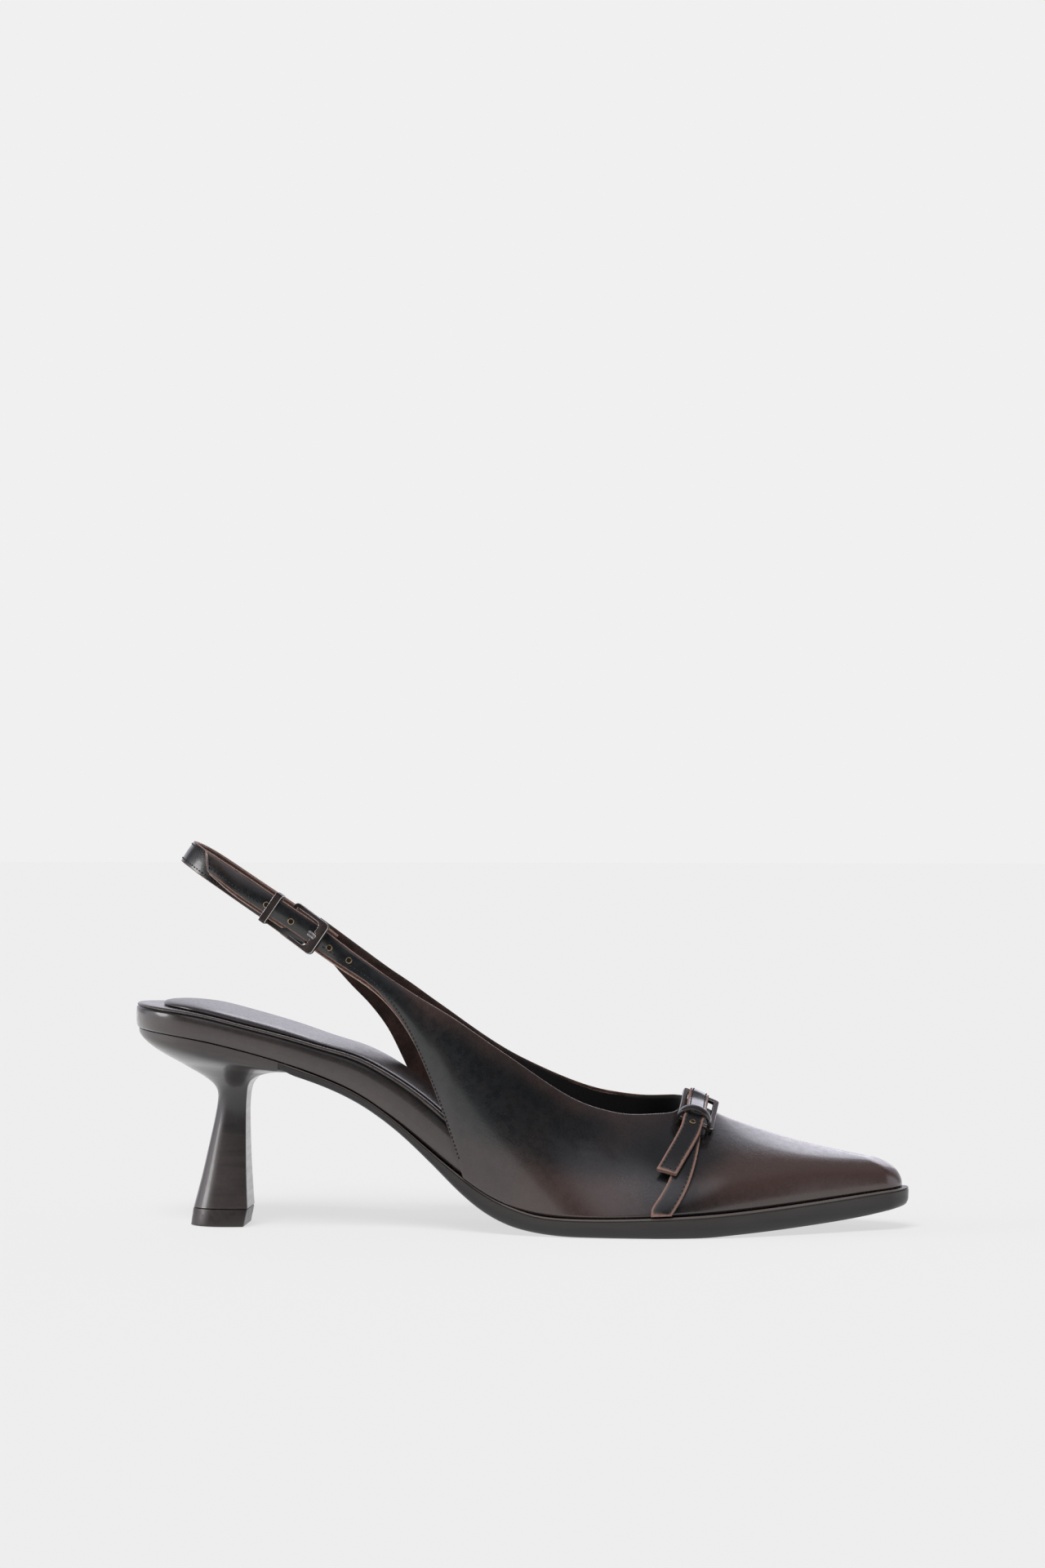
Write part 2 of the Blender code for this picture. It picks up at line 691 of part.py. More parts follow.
def make_sling_metal(material, collection):
    frame = sling_buckle_axes()
    outer = rounded_box(14.6, 11.6, 1.6)
    plate("sling_buckle", [outer, notched_hole()], METAL_THICKNESS, frame, material, collection)
    prong_out = 0.3
    prong = frame @ Matrix.Translation(Vector((3.3, 0.0, prong_out)) * UNIT)
    plate("sling_prong", [rounded_box(3.2, 1.5, 0.6)], 0.001, prong, material, collection)
    along = Vector((math.cos(STRAP_LEAN), -0.08, -math.sin(STRAP_LEAN)))
    wide = Vector((math.sin(STRAP_LEAN), 0.0, math.cos(STRAP_LEAN)))
    centre = Vector((46.8, -20.85, 103.25))
    out = wide.cross(along).normalized()
    keeper = axes_from(out, wide, centre)
    loops = [rounded_box(6.0, 10.8, 0.8, 2), rounded_box(4.7, 8.6, 0.3, 2)]
    plate("sling_keeper", loops, 0.0028, keeper, material, collection)


def arch_outline(half, wall, foot, top):
    """Section of a leather keeper: two legs joined by a half ellipse, from its right foot."""
    turn = np.linspace(0, math.pi, 9)
    spring = foot + 2.6
    outer = [(half * math.cos(a), spring + (top - spring) * math.sin(a)) for a in turn]
    inner = [
        ((half - wall) * math.cos(a), spring + (top - wall - spring) * math.sin(a)) for a in turn[::-1]
    ]
    return [(half, foot), *outer, (-half, foot), (wall - half, foot), *inner, (half - wall, foot)]


def make_vamp_metal(metal, leather, collection):
    """Frame, prong and leather keeper at the throat, set out along the vamp strap."""
    low, high = [
        vamp_frames(((0.0, rib, rise), (2.0, rib, rise)), np.array([place]))
        for place, rib, rise in BUCKLE_BARS
    ]
    start, end = Vector(low[0][0]), Vector(high[0][0])
    width_way = Vector(low[1][0] + high[1][0]).normalized()
    frame = axes_from(end - start, width_way, (start + end) / 2)
    length = (end - start).length + 1.8
    loops = [rounded_box(length, 12.2, 1.0, 2), rounded_box(length - 3.6, 8.2, 0.4, 2)]
    plate("vamp_buckle", loops, METAL_THICKNESS, frame, metal, collection)
    prong = frame @ Matrix.Translation(Vector((length / 2 - 2.4, 0.0, 1.4)) * UNIT)
    plate("vamp_prong", [rounded_box(4.8, 1.9, 0.7)], 0.0009, prong, metal, collection)
    centres, across, outward, along = vamp_frames(VAMP_LONG, np.array([KEEPER_PLACE]))
    rise = read(VAMP_LONG, STRAP_COLUMNS, "rise", KEEPER_PLACE, 0.03)
    foot = Vector(centres[0] - outward[0] * rise)
    keeper = axes_from(across[0], outward[0], foot)
    plate("vamp_keeper", [arch_outline(5.9, 1.1, 0.6, 7.8)], 0.0026, keeper, leather, collection)


def main():
    for item in list(bpy.data.objects):
        bpy.data.objects.remove(item, do_unlink=True)
    collection = bpy.data.collections.new("slingback_pump")
    bpy.context.scene.collection.children.link(collection)
    leather = make_material("burnished_leather", (0.030, 0.022, 0.021), 0.32, 0.0)
    sole = make_material("sole_brown", (0.035, 0.028, 0.027), 0.55, 0.0)
    metal = make_material("antique_metal", (0.16, 0.14, 0.14), 0.35, 1.0)
    add_object("outsole", outsole_mesh(), sole, collection)
    add_object("footbed", footbed_mesh(), leather, collection)
    add_object("sock", sock_mesh(), leather, collection)
    add_object("heel", heel_mesh(), leather, collection)
    add_object("heel_tip", heel_tip_mesh(), sole, collection)
    upper = add_object("upper", upper_mesh(), leather, collection)
    wall = upper.modifiers.new("wall", "SOLIDIFY")
    wall.thickness = UPPER_WALL
    wall.offset = -1.0
    add_object("sling_strap", sling_mesh(), leather, collection)
    add_object("vamp_base", vamp_strap_mesh("vamp_base", VAMP_BASE, 12), leather, collection)
    add_object("vamp_strap", vamp_strap_mesh("vamp_strap", VAMP_LONG, 34), leather, collection)
    make_sling_metal(metal, collection)
    make_vamp_metal(metal, leather, collection)
    for item in collection.objects:
        item.location.x -= LENGTH / 2
        item.location.y -= MIDDLE_Y


def make_material(name, colour, roughness, metallic):
    material = bpy.data.materials.new(name)
    material.use_nodes = True
    shader = material.node_tree.nodes["Principled BSDF"]
    shader.inputs["Base Color"].default_value = (*colour, 1.0)
    shader.inputs["Roughness"].default_value = roughness
    shader.inputs["Metallic"].default_value = metallic
    return material


main()
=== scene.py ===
"""Looks of a slingback pump: burnished leather, raw strap edges, stitching and antique buckles.

Shapes are worked out in shoe millimetres: X from the back of the heel to the toe, +Y to the medial
side, Z up from the floor. A rib of the upper is a curve from the sole, or from the quarter's back
edge, up to the ridge or the topline. Ribs are numbered from the toe backwards, and v runs along
each from 0 to 1.
"""

import math

import bmesh
import bpy
import numpy as np
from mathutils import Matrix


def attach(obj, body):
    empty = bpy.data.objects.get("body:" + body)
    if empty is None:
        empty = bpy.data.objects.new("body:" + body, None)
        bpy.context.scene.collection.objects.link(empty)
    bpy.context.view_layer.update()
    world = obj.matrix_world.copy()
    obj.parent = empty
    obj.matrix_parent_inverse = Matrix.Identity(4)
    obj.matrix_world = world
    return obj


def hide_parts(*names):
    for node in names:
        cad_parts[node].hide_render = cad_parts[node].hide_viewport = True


LATERAL, MEDIAL = -1, 1
UP = np.array([0.0, 0.0, 1.0])

# From shoe millimetres to the frame: a move to its origin, then a scale to metres
TO_ORIGIN = np.array([-125.0, -0.4, 0.0])
MILLIMETRE = 0.001

# In metres: points of a piece nearer than the first are one, and edges shorter than the second go
SAME_PLACE = 1e-6
NO_LENGTH = 1e-7

# Corner values of a face: distance from a cut edge, place along it, how brown it is painted (its rub-off
# finish, and on the upper, band and heel painted light and shade as well), and its share of wrinkles. The
# first is for faces away from any edge, the second for cut ends.
UNCUT = (9.0, 0.0, 0.5, 0.0)
CUT = (0.0, 0.0, 0.5, 0.0)

# Plan of the sole: middle line, and the half width to each side of it
PLAN_COLUMNS = ("at", "middle", "lateral", "medial")
PLAN = (
    (0, 0.0, 25.0, 25.0),
    (15, 0.0, 26.2, 26.2),
    (30, 0.0, 27.0, 27.0),
    (50, 0.0, 25.8, 25.5),
    (75, 0.0, 23.9, 23.0),
    (95, 0.0, 23.9, 21.8),
    (115, 0.0, 26.3, 22.5),
    (135, 0.0, 31.0, 26.8),
    (155, 0.2, 35.2, 33.0),
    (170, 0.6, 36.2, 35.4),
    (185, 1.1, 34.2, 34.4),
    (205, 2.1, 27.6, 28.4),
    (225, 3.0, 18.0, 18.6),
    (240, 3.4, 10.4, 10.6),
    (250, 3.6, 6.0, 6.0),
)

# Side view: top and bottom of the outsole, height of the footbed's band and of the sock's pad
SIDE_COLUMNS = ("at", "top", "bottom", "band", "pad")
SIDE = (
    (0, 64.0, 61.4, 8.0, 1.7),
    (22, 61.1, 58.4, 8.5, 1.8),
    (38, 57.4, 54.6, 8.3, 1.8),
    (52, 53.3, 50.6, 8.8, 1.4),
    (62, 49.7, 47.1, 9.4, 0.9),
    (74, 44.3, 41.4, 11.4, 0.7),
    (86, 36.1, 33.1, 13.2, 0.7),
    (98, 25.8, 22.0, 14.8, 0.7),
    (108, 17.9, 12.2, 13.6, 1.0),
    (116, 12.5, 6.2, 10.6, 1.2),
    (125, 8.5, 2.3, 7.6, 1.4),
    (134, 6.2, 0.65, 5.4, 1.6),
    (143, 5.8, 0.0, 4.4, 1.6),
    (183, 7.1, 0.0, 3.8, 1.6),
    (196, 8.0, 0.8, 3.4, 1.5),
    (216, 9.9, 2.5, 3.0, 1.2),
    (232, 11.6, 4.3, 2.7, 1.1),
    (240, 12.5, 5.6, 2.6, 1.0),
    (250, 13.5, 7.8, 2.6, 1.0),
)

# Heel sections from the top piece up to the seat
HEEL_COLUMNS = ("row", "back_x", "back_z", "front_x", "front_z", "half_width")
HEEL = (
    (0, 18.6, 5.8, 37.2, 5.8, 9.9),
    (1, 21.3, 15.9, 36.7, 15.9, 8.4),
    (2, 23.6, 26.0, 36.4, 26.0, 7.1),
    (3, 26.0, 37.0, 36.3, 37.0, 6.1),
    (4, 26.6, 42.0, 36.6, 42.2, 6.4),
    (5, 25.8, 44.8, 37.2, 45.4, 8.0),
    (6, 22.6, 47.8, 39.4, 48.0, 11.8),
    (7, 16.2, 51.6, 43.8, 49.8, 17.0),
    (8, 10.0, 55.6, 48.0, 50.6, 21.2),
    (9, 4.2, 60.2, 52.2, 50.7, 24.4),
    (10, 0.9, 63.5, 52.4, 52.9, 25.6),
)
HEEL_SEAT_ROW = 10

# Sections of the top piece from the floor up, in the heel's columns after the row
HEEL_TIP = (
    (17.7, 0.0, 35.9, 0.0, 10.2),
    (17.72, 0.25, 36.0, 0.25, 10.28),
    (17.78, 0.6, 36.1, 0.6, 10.3),
    (18.45, 5.15, 37.05, 5.15, 9.95),
    (18.6, 5.45, 37.0, 5.45, 9.85),
)

# Where each rib starts on the feather line
FEATHER_COLUMNS = ("rib", "x")
FEATHER = (
    (0, 247.9),
    (0.5, 247.6),
    (1, 246.9),
    (1.5, 245.4),
    (2, 243.0),
    (3, 234.5),
    (4, 222.0),
    (6, 193.0),
    (7, 181.0),
    (8, 171.0),
    (10, 150.0),
    (12, 127.0),
)

# Ribs with a name: the throat, the quarter's corner on the sole, and the last of each side
THROAT_RIB = 7
CORNER_RIB = 14
LAST_RIB = {LATERAL: 26, MEDIAL: 23}

# Typical distance between ribs and typical length of one, for patterns laid out in rib places
RIB_SPACING = 11.0
RIB_LENGTH = 42.0

# Gaps over the sole, up to the first point of a rib and up to the footbed
FEATHER_GAP = 0.3
FOOTBED_GAP = 0.35

# Ends of the ribs: the ridge and the topline above, the corner and the quarter's back edge below
EDGE_COLUMNS = ("rib", "x", "y", "z")
RIDGE = (
    (0, 238.5, 3.4, 22.9),
    (2, 232.5, 3.3, 24.3),
    (4, 215.0, 3.2, 28.3),
    (6, 191.0, 3.7, 35.9),
    (7, 178.6, 4.2, 41.2),
)
TOPLINE = {
    LATERAL: (
        (7.25, 178.3, 1.2, 40.3),
        (7.6, 176.9, -2.8, 38.7),
        (8, 173.8, -6.9, 37.7),
        (9, 162.5, -13.8, 37.7),
        (10, 149.5, -18.2, 40.5),
        (12, 122.8, -23.2, 56.8),
        (14, 105.0, -25.0, 69.0),
        (16, 94.0, -25.3, 75.6),
        (18, 85.2, -25.0, 81.3),
        (20, 79.0, -24.5, 85.5),
        (21, 74.3, -23.8, 88.7),
        (22, 67.6, -22.8, 93.6),
        (23, 59.8, -22.9, 99.5),
        (24, 49.2, -22.8, 106.5),
        (25, 38.1, -21.3, 113.8),
        (26, 24.7, -17.0, 121.9),
    ),
    MEDIAL: (
        (7.25, 178.3, 6.8, 41.7),
        (7.6, 177.2, 9.4, 42.1),
        (8, 174.7, 11.8, 42.2),
        (9, 165.0, 15.2, 41.8),
        (10, 153.0, 18.6, 42.9),
        (12, 124.0, 23.0, 53.2),
        (14, 98.5, 24.9, 69.4),
        (16, 87.5, 25.0, 77.2),
        (18, 80.2, 24.6, 82.1),
        (20, 73.0, 24.1, 87.3),
        (21, 69.0, 23.9, 90.2),
        (22, 62.5, 23.4, 95.0),
        (23, 57.3, 22.9, 98.8),
    ),
}
CORNER_X = {LATERAL: 108.5, MEDIAL: 96.0}
BACK_EDGE = {
    LATERAL: (
        (15, 102.5, -25.2, 36.0),
        (16, 97.8, -25.7, 48.7),
        (17, 91.4, -26.0, 62.5),
        (18, 85.2, -25.8, 71.3),
        (19, 80.0, -25.3, 76.4),
        (20, 75.2, -24.6, 79.9),
        (21, 69.6, -23.8, 83.4),
        (22, 63.4, -22.8, 87.4),
        (23, 55.5, -22.9, 93.1),
        (24, 44.9, -22.8, 100.1),
        (25, 33.8, -21.2, 107.4),
        (26, 25.7, -17.5, 113.6),
    ),
    MEDIAL: (
        (15, 91.6, 24.0, 36.5),
        (16, 87.7, 24.8, 44.9),
        (17, 83.1, 25.2, 54.7),
        (18, 79.3, 25.2, 62.2),
        (19, 73.3, 24.9, 70.3),
        (20, 67.7, 24.4, 76.2),
        (21, 63.2, 24.0, 81.2),
        (22, 57.6, 23.4, 87.6),
        (23, 53.0, 22.9, 92.3),
    ),
}

# The bow of each rib: degrees that it faces towards the toe, how far it counts as a quarter, and
# the lengths of its handles as shares of its height and width, with the bulge in millimetres
BOW_COLUMNS = ("rib", "facing", "quarter", "low_up", "bulge", "top_out", "top_drop")
BOW = (
    (0, 90, 0.0, 0.50, 0.3, 0.55, 0.0),
    (1, 58, 0.0, 0.52, 0.4, 0.54, 0.02),
    (2, 36, 0.0, 0.64, 0.6, 0.62, 0.07),
    (4, 26, 0.0, 0.72, 0.7, 0.64, 0.15),
    (6, 17, 0.0, 0.60, 0.8, 0.46, 0.21),
    (7, 8, 0.05, 0.45, 0.9, 0.18, 0.15),
    (8, 3, 0.40, 0.50, 1.2, 0.16, 0.09),
    (9, 0, 0.75, 0.50, 1.8, 0.16, 0.09),
    (10, -4, 0.95, 0.50, 2.4, 0.16, 0.09),
    (12, -7, 1.0, 0.50, 2.8, 0.16, 0.09),
    (14, -5, 1.0, 0.50, 2.4, 0.16, 0.09),
    (16, 0, 1.0, 0.50, 1.4, 0.16, 0.09),
    (18, 0, 1.0, 0.50, 0.7, 0.16, 0.09),
    (21, 0, 1.0, 0.50, 0.1, 0.16, 0.09),
    (26, 0, 1.0, 0.50, 0.0, 0.16, 0.09),
)

# How brown the leather is painted, from 0 near black to 1 brown, at five heights of each rib. It is
# partly the rub-off finish and partly painted light and shade: brown low down, where the floor's light
# falls, near black in a band at mid height that faces the dark front, and a dark line under the toe's
# ridge.
RUB_AND_SHADE_COLUMNS = ("rib", "sole", "low", "middle", "high", "top")
RUB_AND_SHADE = (
    (0, 0.95, 1.00, 0.95, 0.60, 0.50),
    (2, 0.90, 1.00, 0.95, 0.30, 0.50),
    (4, 0.75, 1.00, 0.95, 0.15, 0.50),
    (5.4, 0.60, 0.90, 0.85, 0.05, 0.45),
    (6.2, 0.55, 0.80, 0.45, 0.05, 0.35),
    (6.8, 0.35, 0.40, 0.08, 0.08, 0.30),
    (7.4, 0.20, 0.10, 0.04, 0.20, 0.40),
    (8.2, 0.30, 0.20, 0.04, 0.35, 0.50),
    (9, 0.60, 0.55, 0.08, 0.34, 0.50),
    (10, 0.72, 0.74, 0.20, 0.20, 0.50),
    (12, 0.62, 0.58, 0.12, 0.14, 0.50),
    (14, 0.50, 0.40, 0.05, 0.12, 0.60),
    (16, 0.20, 0.08, 0.04, 0.30, 0.75),
    (19, 0.10, 0.05, 0.03, 0.15, 0.60),
    (22, 0.08, 0.03, 0.03, 0.05, 0.30),
    (24, 0.15, 0.08, 0.05, 0.15, 0.45),
    (26, 0.30, 0.25, 0.25, 0.45, 0.60),
)

# Outer face of the sling strap, from the buckle round the heel to the medial quarter
LOOP_COLUMNS = ("step", "x", "y", "z")
LOOP = (
    (0, 50.5, -20.8, 101.0),
    (1, 47.0, -20.5, 103.2),
    (2, 36.0, -18.6, 110.5),
    (3, 27.0, -15.2, 116.3),
    (4, 21.0, -10.4, 119.8),
    (5, 17.6, -5.2, 121.0),
    (6, 16.5, 0.0, 121.3),
    (7, 17.9, 5.4, 120.5),
    (8, 21.6, 10.8, 118.1),
    (9, 27.5, 15.4, 113.8),
    (10, 36.5, 18.6, 107.4),
    (11, 47.0, 20.4, 100.2),
    (12, 56.0, 21.0, 93.9),
    (13, 61.0, 21.3, 90.0),
)

# Sling strap: its slant, the way of its width, its size, and how far it hangs lower under the tail
STRAP_LEAN = math.radians(34.5)
STRAP_UPWARD = np.array([math.sin(STRAP_LEAN), 0.0, math.cos(STRAP_LEAN)])
SLING_WIDTH = 7.7
SLING_THICKNESS = 1.5
SLING_DROP = 0.85

# Base strap and long strap of the vamp: place from 0 at the lateral sole edge over 1 at the ridge to
# 2 at the medial sole edge, the rib under the strap's middle, and its height above the upper
STRAP_COLUMNS = ("place", "rib", "rise")
VAMP_BASE = (
    (0.03, 7.93, 0.5),
    (0.22, 7.42, 0.5),
    (0.45, 7.12, 0.5),
    (0.60, 6.98, 0.5),
)
VAMP_LONG = (
    (0.30, 7.86, 2.4),
    (0.45, 7.46, 2.7),
    (0.56, 7.10, 3.5),
    (0.62, 6.97, 4.9),
    (0.68, 6.92, 5.0),
    (0.76, 6.89, 4.0),
    (0.90, 6.82, 2.6),
    (1.00, 6.78, 2.4),
    (1.12, 6.82, 2.2),
    (1.30, 6.92, 1.2),
    (1.50, 7.06, 0.8),
    (1.97, 7.55, 0.8),
)
VAMP_STRAP_WIDTH = 6.5
VAMP_STRAP_THICKNESS = 1.4

# Vamp buckle: its middle, the ways of its length and width, their measures, and its bars' widths
VAMP_FRAME = {
    "middle": np.array([182.4, -2.3, 38.1]),
    "medialward": np.array([0.074, 0.932, 0.354]),
    "heelward": np.array([-0.918, -0.075, 0.389]),
    "length": 21.1,
    "width": 12.2,
    "end_bar": 1.8,
    "side_bar": 1.7,
}

# Places along the vamp strap of the hole in its tail and of the leather keeper
TAIL_HOLE_PLACE = 0.588
KEEPER_PLACE = 0.65

# Holes of the sling strap, seen from the side
SLING_HOLES_XZ = ((71.9, 86.7), (65.5, 90.7), (53.2, 99.1), (45.3, 104.4))

# How far the quarter's strap is crowned between its edges
STRAP_CROWN = 0.45

# How much of the lining shows behind the quarter's cut edge
EDGE_BAND = 1.25

# Walls of the upper
LEATHER_THICKNESS = 0.8
LINING_THICKNESS = 0.75

# Stitches: pitch, length and the thread's radius
UPPER_STITCH = (1.35, 0.945, 0.24)
SLING_STITCH = (1.35, 0.918, 0.23)
VAMP_STITCH = (1.55, 1.054, 0.23)
TAIL_END_STITCH = (1.3, 0.86, 0.19)


# Curves through tables


def slopes(x, y):
    """Slope at each point of a monotone cubic: the weighted harmonic mean of its neighbours."""
    step = np.diff(x)
    rise = np.diff(y) / step
    slope = np.concatenate([rise[:1], np.zeros(len(x) - 2), rise[-1:]])
    for k in range(1, len(x) - 1):
        if rise[k - 1] * rise[k] > 0:
            before = 2 * step[k] + step[k - 1]
            after = step[k] + 2 * step[k - 1]
            slope[k] = (before + after) / (before / rise[k - 1] + after / rise[k])
    return slope


def through(x, y, at):
    """The monotone cubic through the points (x, y), read at each value of at."""
    at = np.clip(at, x[0], x[-1])
    k = np.clip(np.searchsorted(x, at, side="right") - 1, 0, len(x) - 2)
    step = x[k + 1] - x[k]
    t = (at - x[k]) / step
    slope = slopes(x, y)
    start = (1 + 2 * t) * (1 - t) ** 2 * y[k] + t * (1 - t) ** 2 * step * slope[k]
    end = t**2 * (3 - 2 * t) * y[k + 1] - t**2 * (1 - t) * step * slope[k + 1]
    return start + end


def read(table, columns, name, at, reach=0.0):
    """One column of a table at each value of at, as a weighted mean over a span of 2 * reach."""
    x = np.array([row[0] for row in table], float)
    y = np.array([row[columns.index(name)] for row in table], float)
    at = np.clip(np.asarray(at, float), x[0], x[-1])
    span = np.minimum(reach, np.minimum(at - x[0], x[-1] - at))
    shares = ((-1.0, 1), (-0.5, 2), (0.0, 3), (0.5, 2), (1.0, 1))
    total = sum(weight for _, weight in shares)
    return sum(weight * through(x, y, at + shift * span) for shift, weight in shares) / total


def blend(x, start, end):
    """0 before start, 1 after end, and a smooth step 3t^2 - 2t^3 between."""
    t = np.clip((x - start) / (end - start), 0.0, 1.0)
    return t * t * (3 - 2 * t)


def unit(vectors):
    """Each vector divided by its length."""
    return vectors / np.maximum(np.linalg.norm(vectors, axis=-1, keepdims=True), 1e-12)


def travelled(path):
    """Distance along a path of points: the running sum of its chords."""
    return np.concatenate([[0.0], np.cumsum(np.linalg.norm(np.diff(path, axis=0), axis=1))])


def resampled(path, at, length):
    """Values of an array along a path, read at new distances by straight interpolation."""
    return np.stack([np.interp(at, length, path[:, k]) for k in range(path.shape[1])], axis=1)


# Meshes from grids


def grid_part(points, slot=0, uv=None, flip=False, wrap_rows=False, wrap_columns=False):
    """Points, quads, slot and corner coordinates of one grid. A wrapped side joins its two ends."""
    rows, columns = points.shape[:2]
    i, j = np.meshgrid(
        np.arange(rows if wrap_rows else rows - 1),
        np.arange(columns if wrap_columns else columns - 1),
        indexing="ij",
    )
    i, j = i.ravel(), j.ravel()
    corner_i = np.stack([i, i + 1, i + 1, i], axis=1)
    corner_j = np.stack([j, j, j + 1, j + 1], axis=1)
    if flip:
        corner_i, corner_j = corner_i[:, ::-1], corner_j[:, ::-1]
    quads = (corner_i % rows) * columns + corner_j % columns
    if uv is None:
        uv = np.full((rows + 1, columns + 1, 4), UNCUT)
    corners = uv[corner_i, corner_j].reshape(-1, 4)
    return points.reshape(-1, 3), quads, slot, corners


def corner_values(edge, along=0.0, tone=0.5, wrinkles=0.0):
    """Corner values of a grid, each given once for all of it or for each of its points."""
    return np.stack(np.broadcast_arrays(edge, along, tone, wrinkles), axis=-1)


def closed_round(uv):
    """Corner values with their first column repeated after the last, for a grid that closes."""
    return np.concatenate([uv, uv[:, :1]], axis=1)


def add_piece(name, parts, materials, sharp=40.0, closed=True):
    """One object from grid parts, its doubles joined and, if it is closed, its faces turned out.

    The corner values go to two UV maps: edge (distance from a cut edge and along it, in millimetres) and
    finish (how brown it is painted, for rubbing and, on the upper, band and heel, for painted light and
    shade too, and its share of wrinkles).
    """
    points, quads, slots, corners = [], [], [], []
    base = 0
    for part_points, part_quads, slot, part_corners in parts:
        points.append(part_points)
        quads.append(part_quads + base)
        slots.append(np.full(len(part_quads), slot))
        corners.append(part_corners)
        base += len(part_points)
    place = ((np.concatenate(points) + TO_ORIGIN) * MILLIMETRE).astype(np.float32)
    corners = np.concatenate(corners)
    mesh = bpy.data.meshes.new(name)
    mesh.from_pydata(place, [], np.concatenate(quads))
    mesh.polygons.foreach_set("material_index", np.concatenate(slots).astype(np.int32))
    for title, pair in (("edge", corners[:, :2]), ("finish", corners[:, 2:])):
        layer = mesh.uv_layers.new(name=title)
        layer.data.foreach_set("uv", np.ascontiguousarray(pair, np.float32).ravel())
    for material in materials:
        mesh.materials.append(material)
    work = bmesh.new()
    work.from_mesh(mesh)
    bmesh.ops.remove_doubles(work, verts=work.verts, dist=SAME_PLACE)
    bmesh.ops.dissolve_degenerate(work, edges=work.edges, dist=NO_LENGTH)
    if closed:
        bmesh.ops.recalc_face_normals(work, faces=work.faces)
    work.to_mesh(mesh)
    work.free()
    mesh.shade_smooth()
    mesh.set_sharp_from_angle(angle=math.radians(sharp))
    item = bpy.data.objects.new(name, mesh)
    bpy.context.scene.collection.objects.link(item)
    return item


def placed(item, slot, *nodes):
    """The piece rides on the shoe and stands for the CAD nodes named, which it hides; the slot is not
    used.
    """
    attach(item, "root")
    if nodes:
        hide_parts(*nodes)
    return item


def sweep(path, across, outward, profile, wide):
    """A profile carried along a path: point + across * a * width + outward * b for each of its points."""
    a = (profile[None, :, 0] * wide[:, None])[..., None]
    b = profile[None, :, 1, None]
    return path[:, None, :] + across[:, None, :] * a + outward[:, None, :] * b


def end_caps(grid):
    """Fans that close the two ends of a sweep: each end ring shrinks to its middle."""
    caps = []
    for ring, flip in ((grid[0], False), (grid[-1], True)):
        middle = np.broadcast_to(ring.mean(axis=0), ring.shape)
        uv = np.broadcast_to(CUT, (3, len(ring) + 1, 4))
        caps.append(grid_part(np.stack([middle, ring]), 0, uv, flip, wrap_columns=True))
    return caps


def band_profile(width, thickness, edge, crown):
    """Closed section of a strap: a rectangle with quarter-round edges and a crowned outer face.

    Returns its points and, for each, the distance from the strap's cut edge (below 0 on the
    inner face).
    """
    turn = np.linspace(0, math.pi / 2, 5)
    flat = np.linspace(-1, 1, 13)[1:-1]
    half = width / 2
    rise = thickness - edge
    right_top = np.column_stack([half - edge + edge * np.cos(turn), rise + edge * np.sin(turn)])
    top = np.column_stack([-flat * (half - edge), thickness + crown * (1 - flat**2)])
    left_top = right_top[::-1] * (-1, 1)
    left_low = np.column_stack([-half + edge - edge * np.cos(turn), edge - edge * np.sin(turn)])
    low = np.column_stack([flat * (half - edge), np.zeros(len(flat))])
    right_low = left_low[::-1] * (-1, 1)
    points = np.concatenate([right_top, top, left_top, left_low, low, right_low])
    outer = points[:, 1] > thickness / 2
    from_edge = np.where(outer, half - np.abs(points[:, 0]), 0.0)
    inner = (points[:, 1] < 1e-6) & (np.abs(points[:, 0]) < half - edge * 1.01)
    return points, np.where(inner, -1.0, from_edge)


def strap_piece(name, path, across, outward, width, thickness, materials, rub, wide=None):
    """A cut strap swept along its path, with its leather face, cut edges and lining.

    Where the width varies, the profile is one millimetre wide and is scaled by it.
    """
    wide = np.ones(len(path)) if wide is None else wide
    edge_round, crown = 0.22, 0.16
    profile, from_edge = band_profile(width, thickness, edge_round / wide.max(), crown)
    grid = sweep(path, across, outward, profile, wide)
    length = travelled(path)
    edge = np.where(from_edge > 0, from_edge * wide[:, None], from_edge)
    for distance in (length, length[-1] - length):
        edge = np.where(edge > 0, np.minimum(edge, distance[:, None]), edge)
    tone = rub(length / length[-1])[:, None]
    uv = closed_round(corner_values(edge, length[:, None], tone))
    body = grid_part(grid, 0, uv, wrap_columns=True)
    return add_piece(name, [body, *end_caps(grid)], materials, sharp=50.0)


def stitch_row(name, path, tangent, normal, stitch, material):
    """Thread stitches along a path: one small bowed capsule, copied to every pitch of its length.

    The capsule is x = length/2 * cos(a), with a circle of radius * sqrt(sin(a)) round it. It stands
    0.55 radii out and sinks towards its ends by 1.05 * (2x/length)^2 radii.
    """
    pitch, length, radius = stitch
    lift, sag = 0.55, 1.05
    total = travelled(path)
    at = np.arange(pitch, total[-1] - pitch / 2, pitch)
    spots = resampled(path, at, total)
    along = unit(resampled(tangent, at, total))
    out = unit(resampled(normal, at, total))
    across = np.cross(out, along)
    a = np.linspace(0, math.pi, 7)
    b = np.linspace(0, 2 * math.pi, 7)[:-1]
    x = np.broadcast_to(length / 2 * np.cos(a)[:, None], (len(a), len(b)))
    ring = radius * np.sqrt(np.maximum(np.sin(a), 0.0))[:, None]
    y = ring * np.cos(b)
    z = ring * np.sin(b) + radius * (lift - sag * (2 * x / length) ** 2)
    grids = (
        spots[:, None, None]
        + along[:, None, None] * x[None, ..., None]
        + across[:, None, None] * y[None, ..., None]
        + out[:, None, None] * z[None, ..., None]
    )
    parts = [grid_part(grid, wrap_columns=True) for grid in grids]
    return add_piece(name, parts, [material], sharp=80.0)


# The sole's outlines


def sole_top(x):
    """Height of the outsole's top."""
    return read(SIDE, SIDE_COLUMNS, "top", x, 5.0)


def sole_bottom(x):
    """Height of the outsole's underside."""
    return read(SIDE, SIDE_COLUMNS, "bottom", x, 4.0)


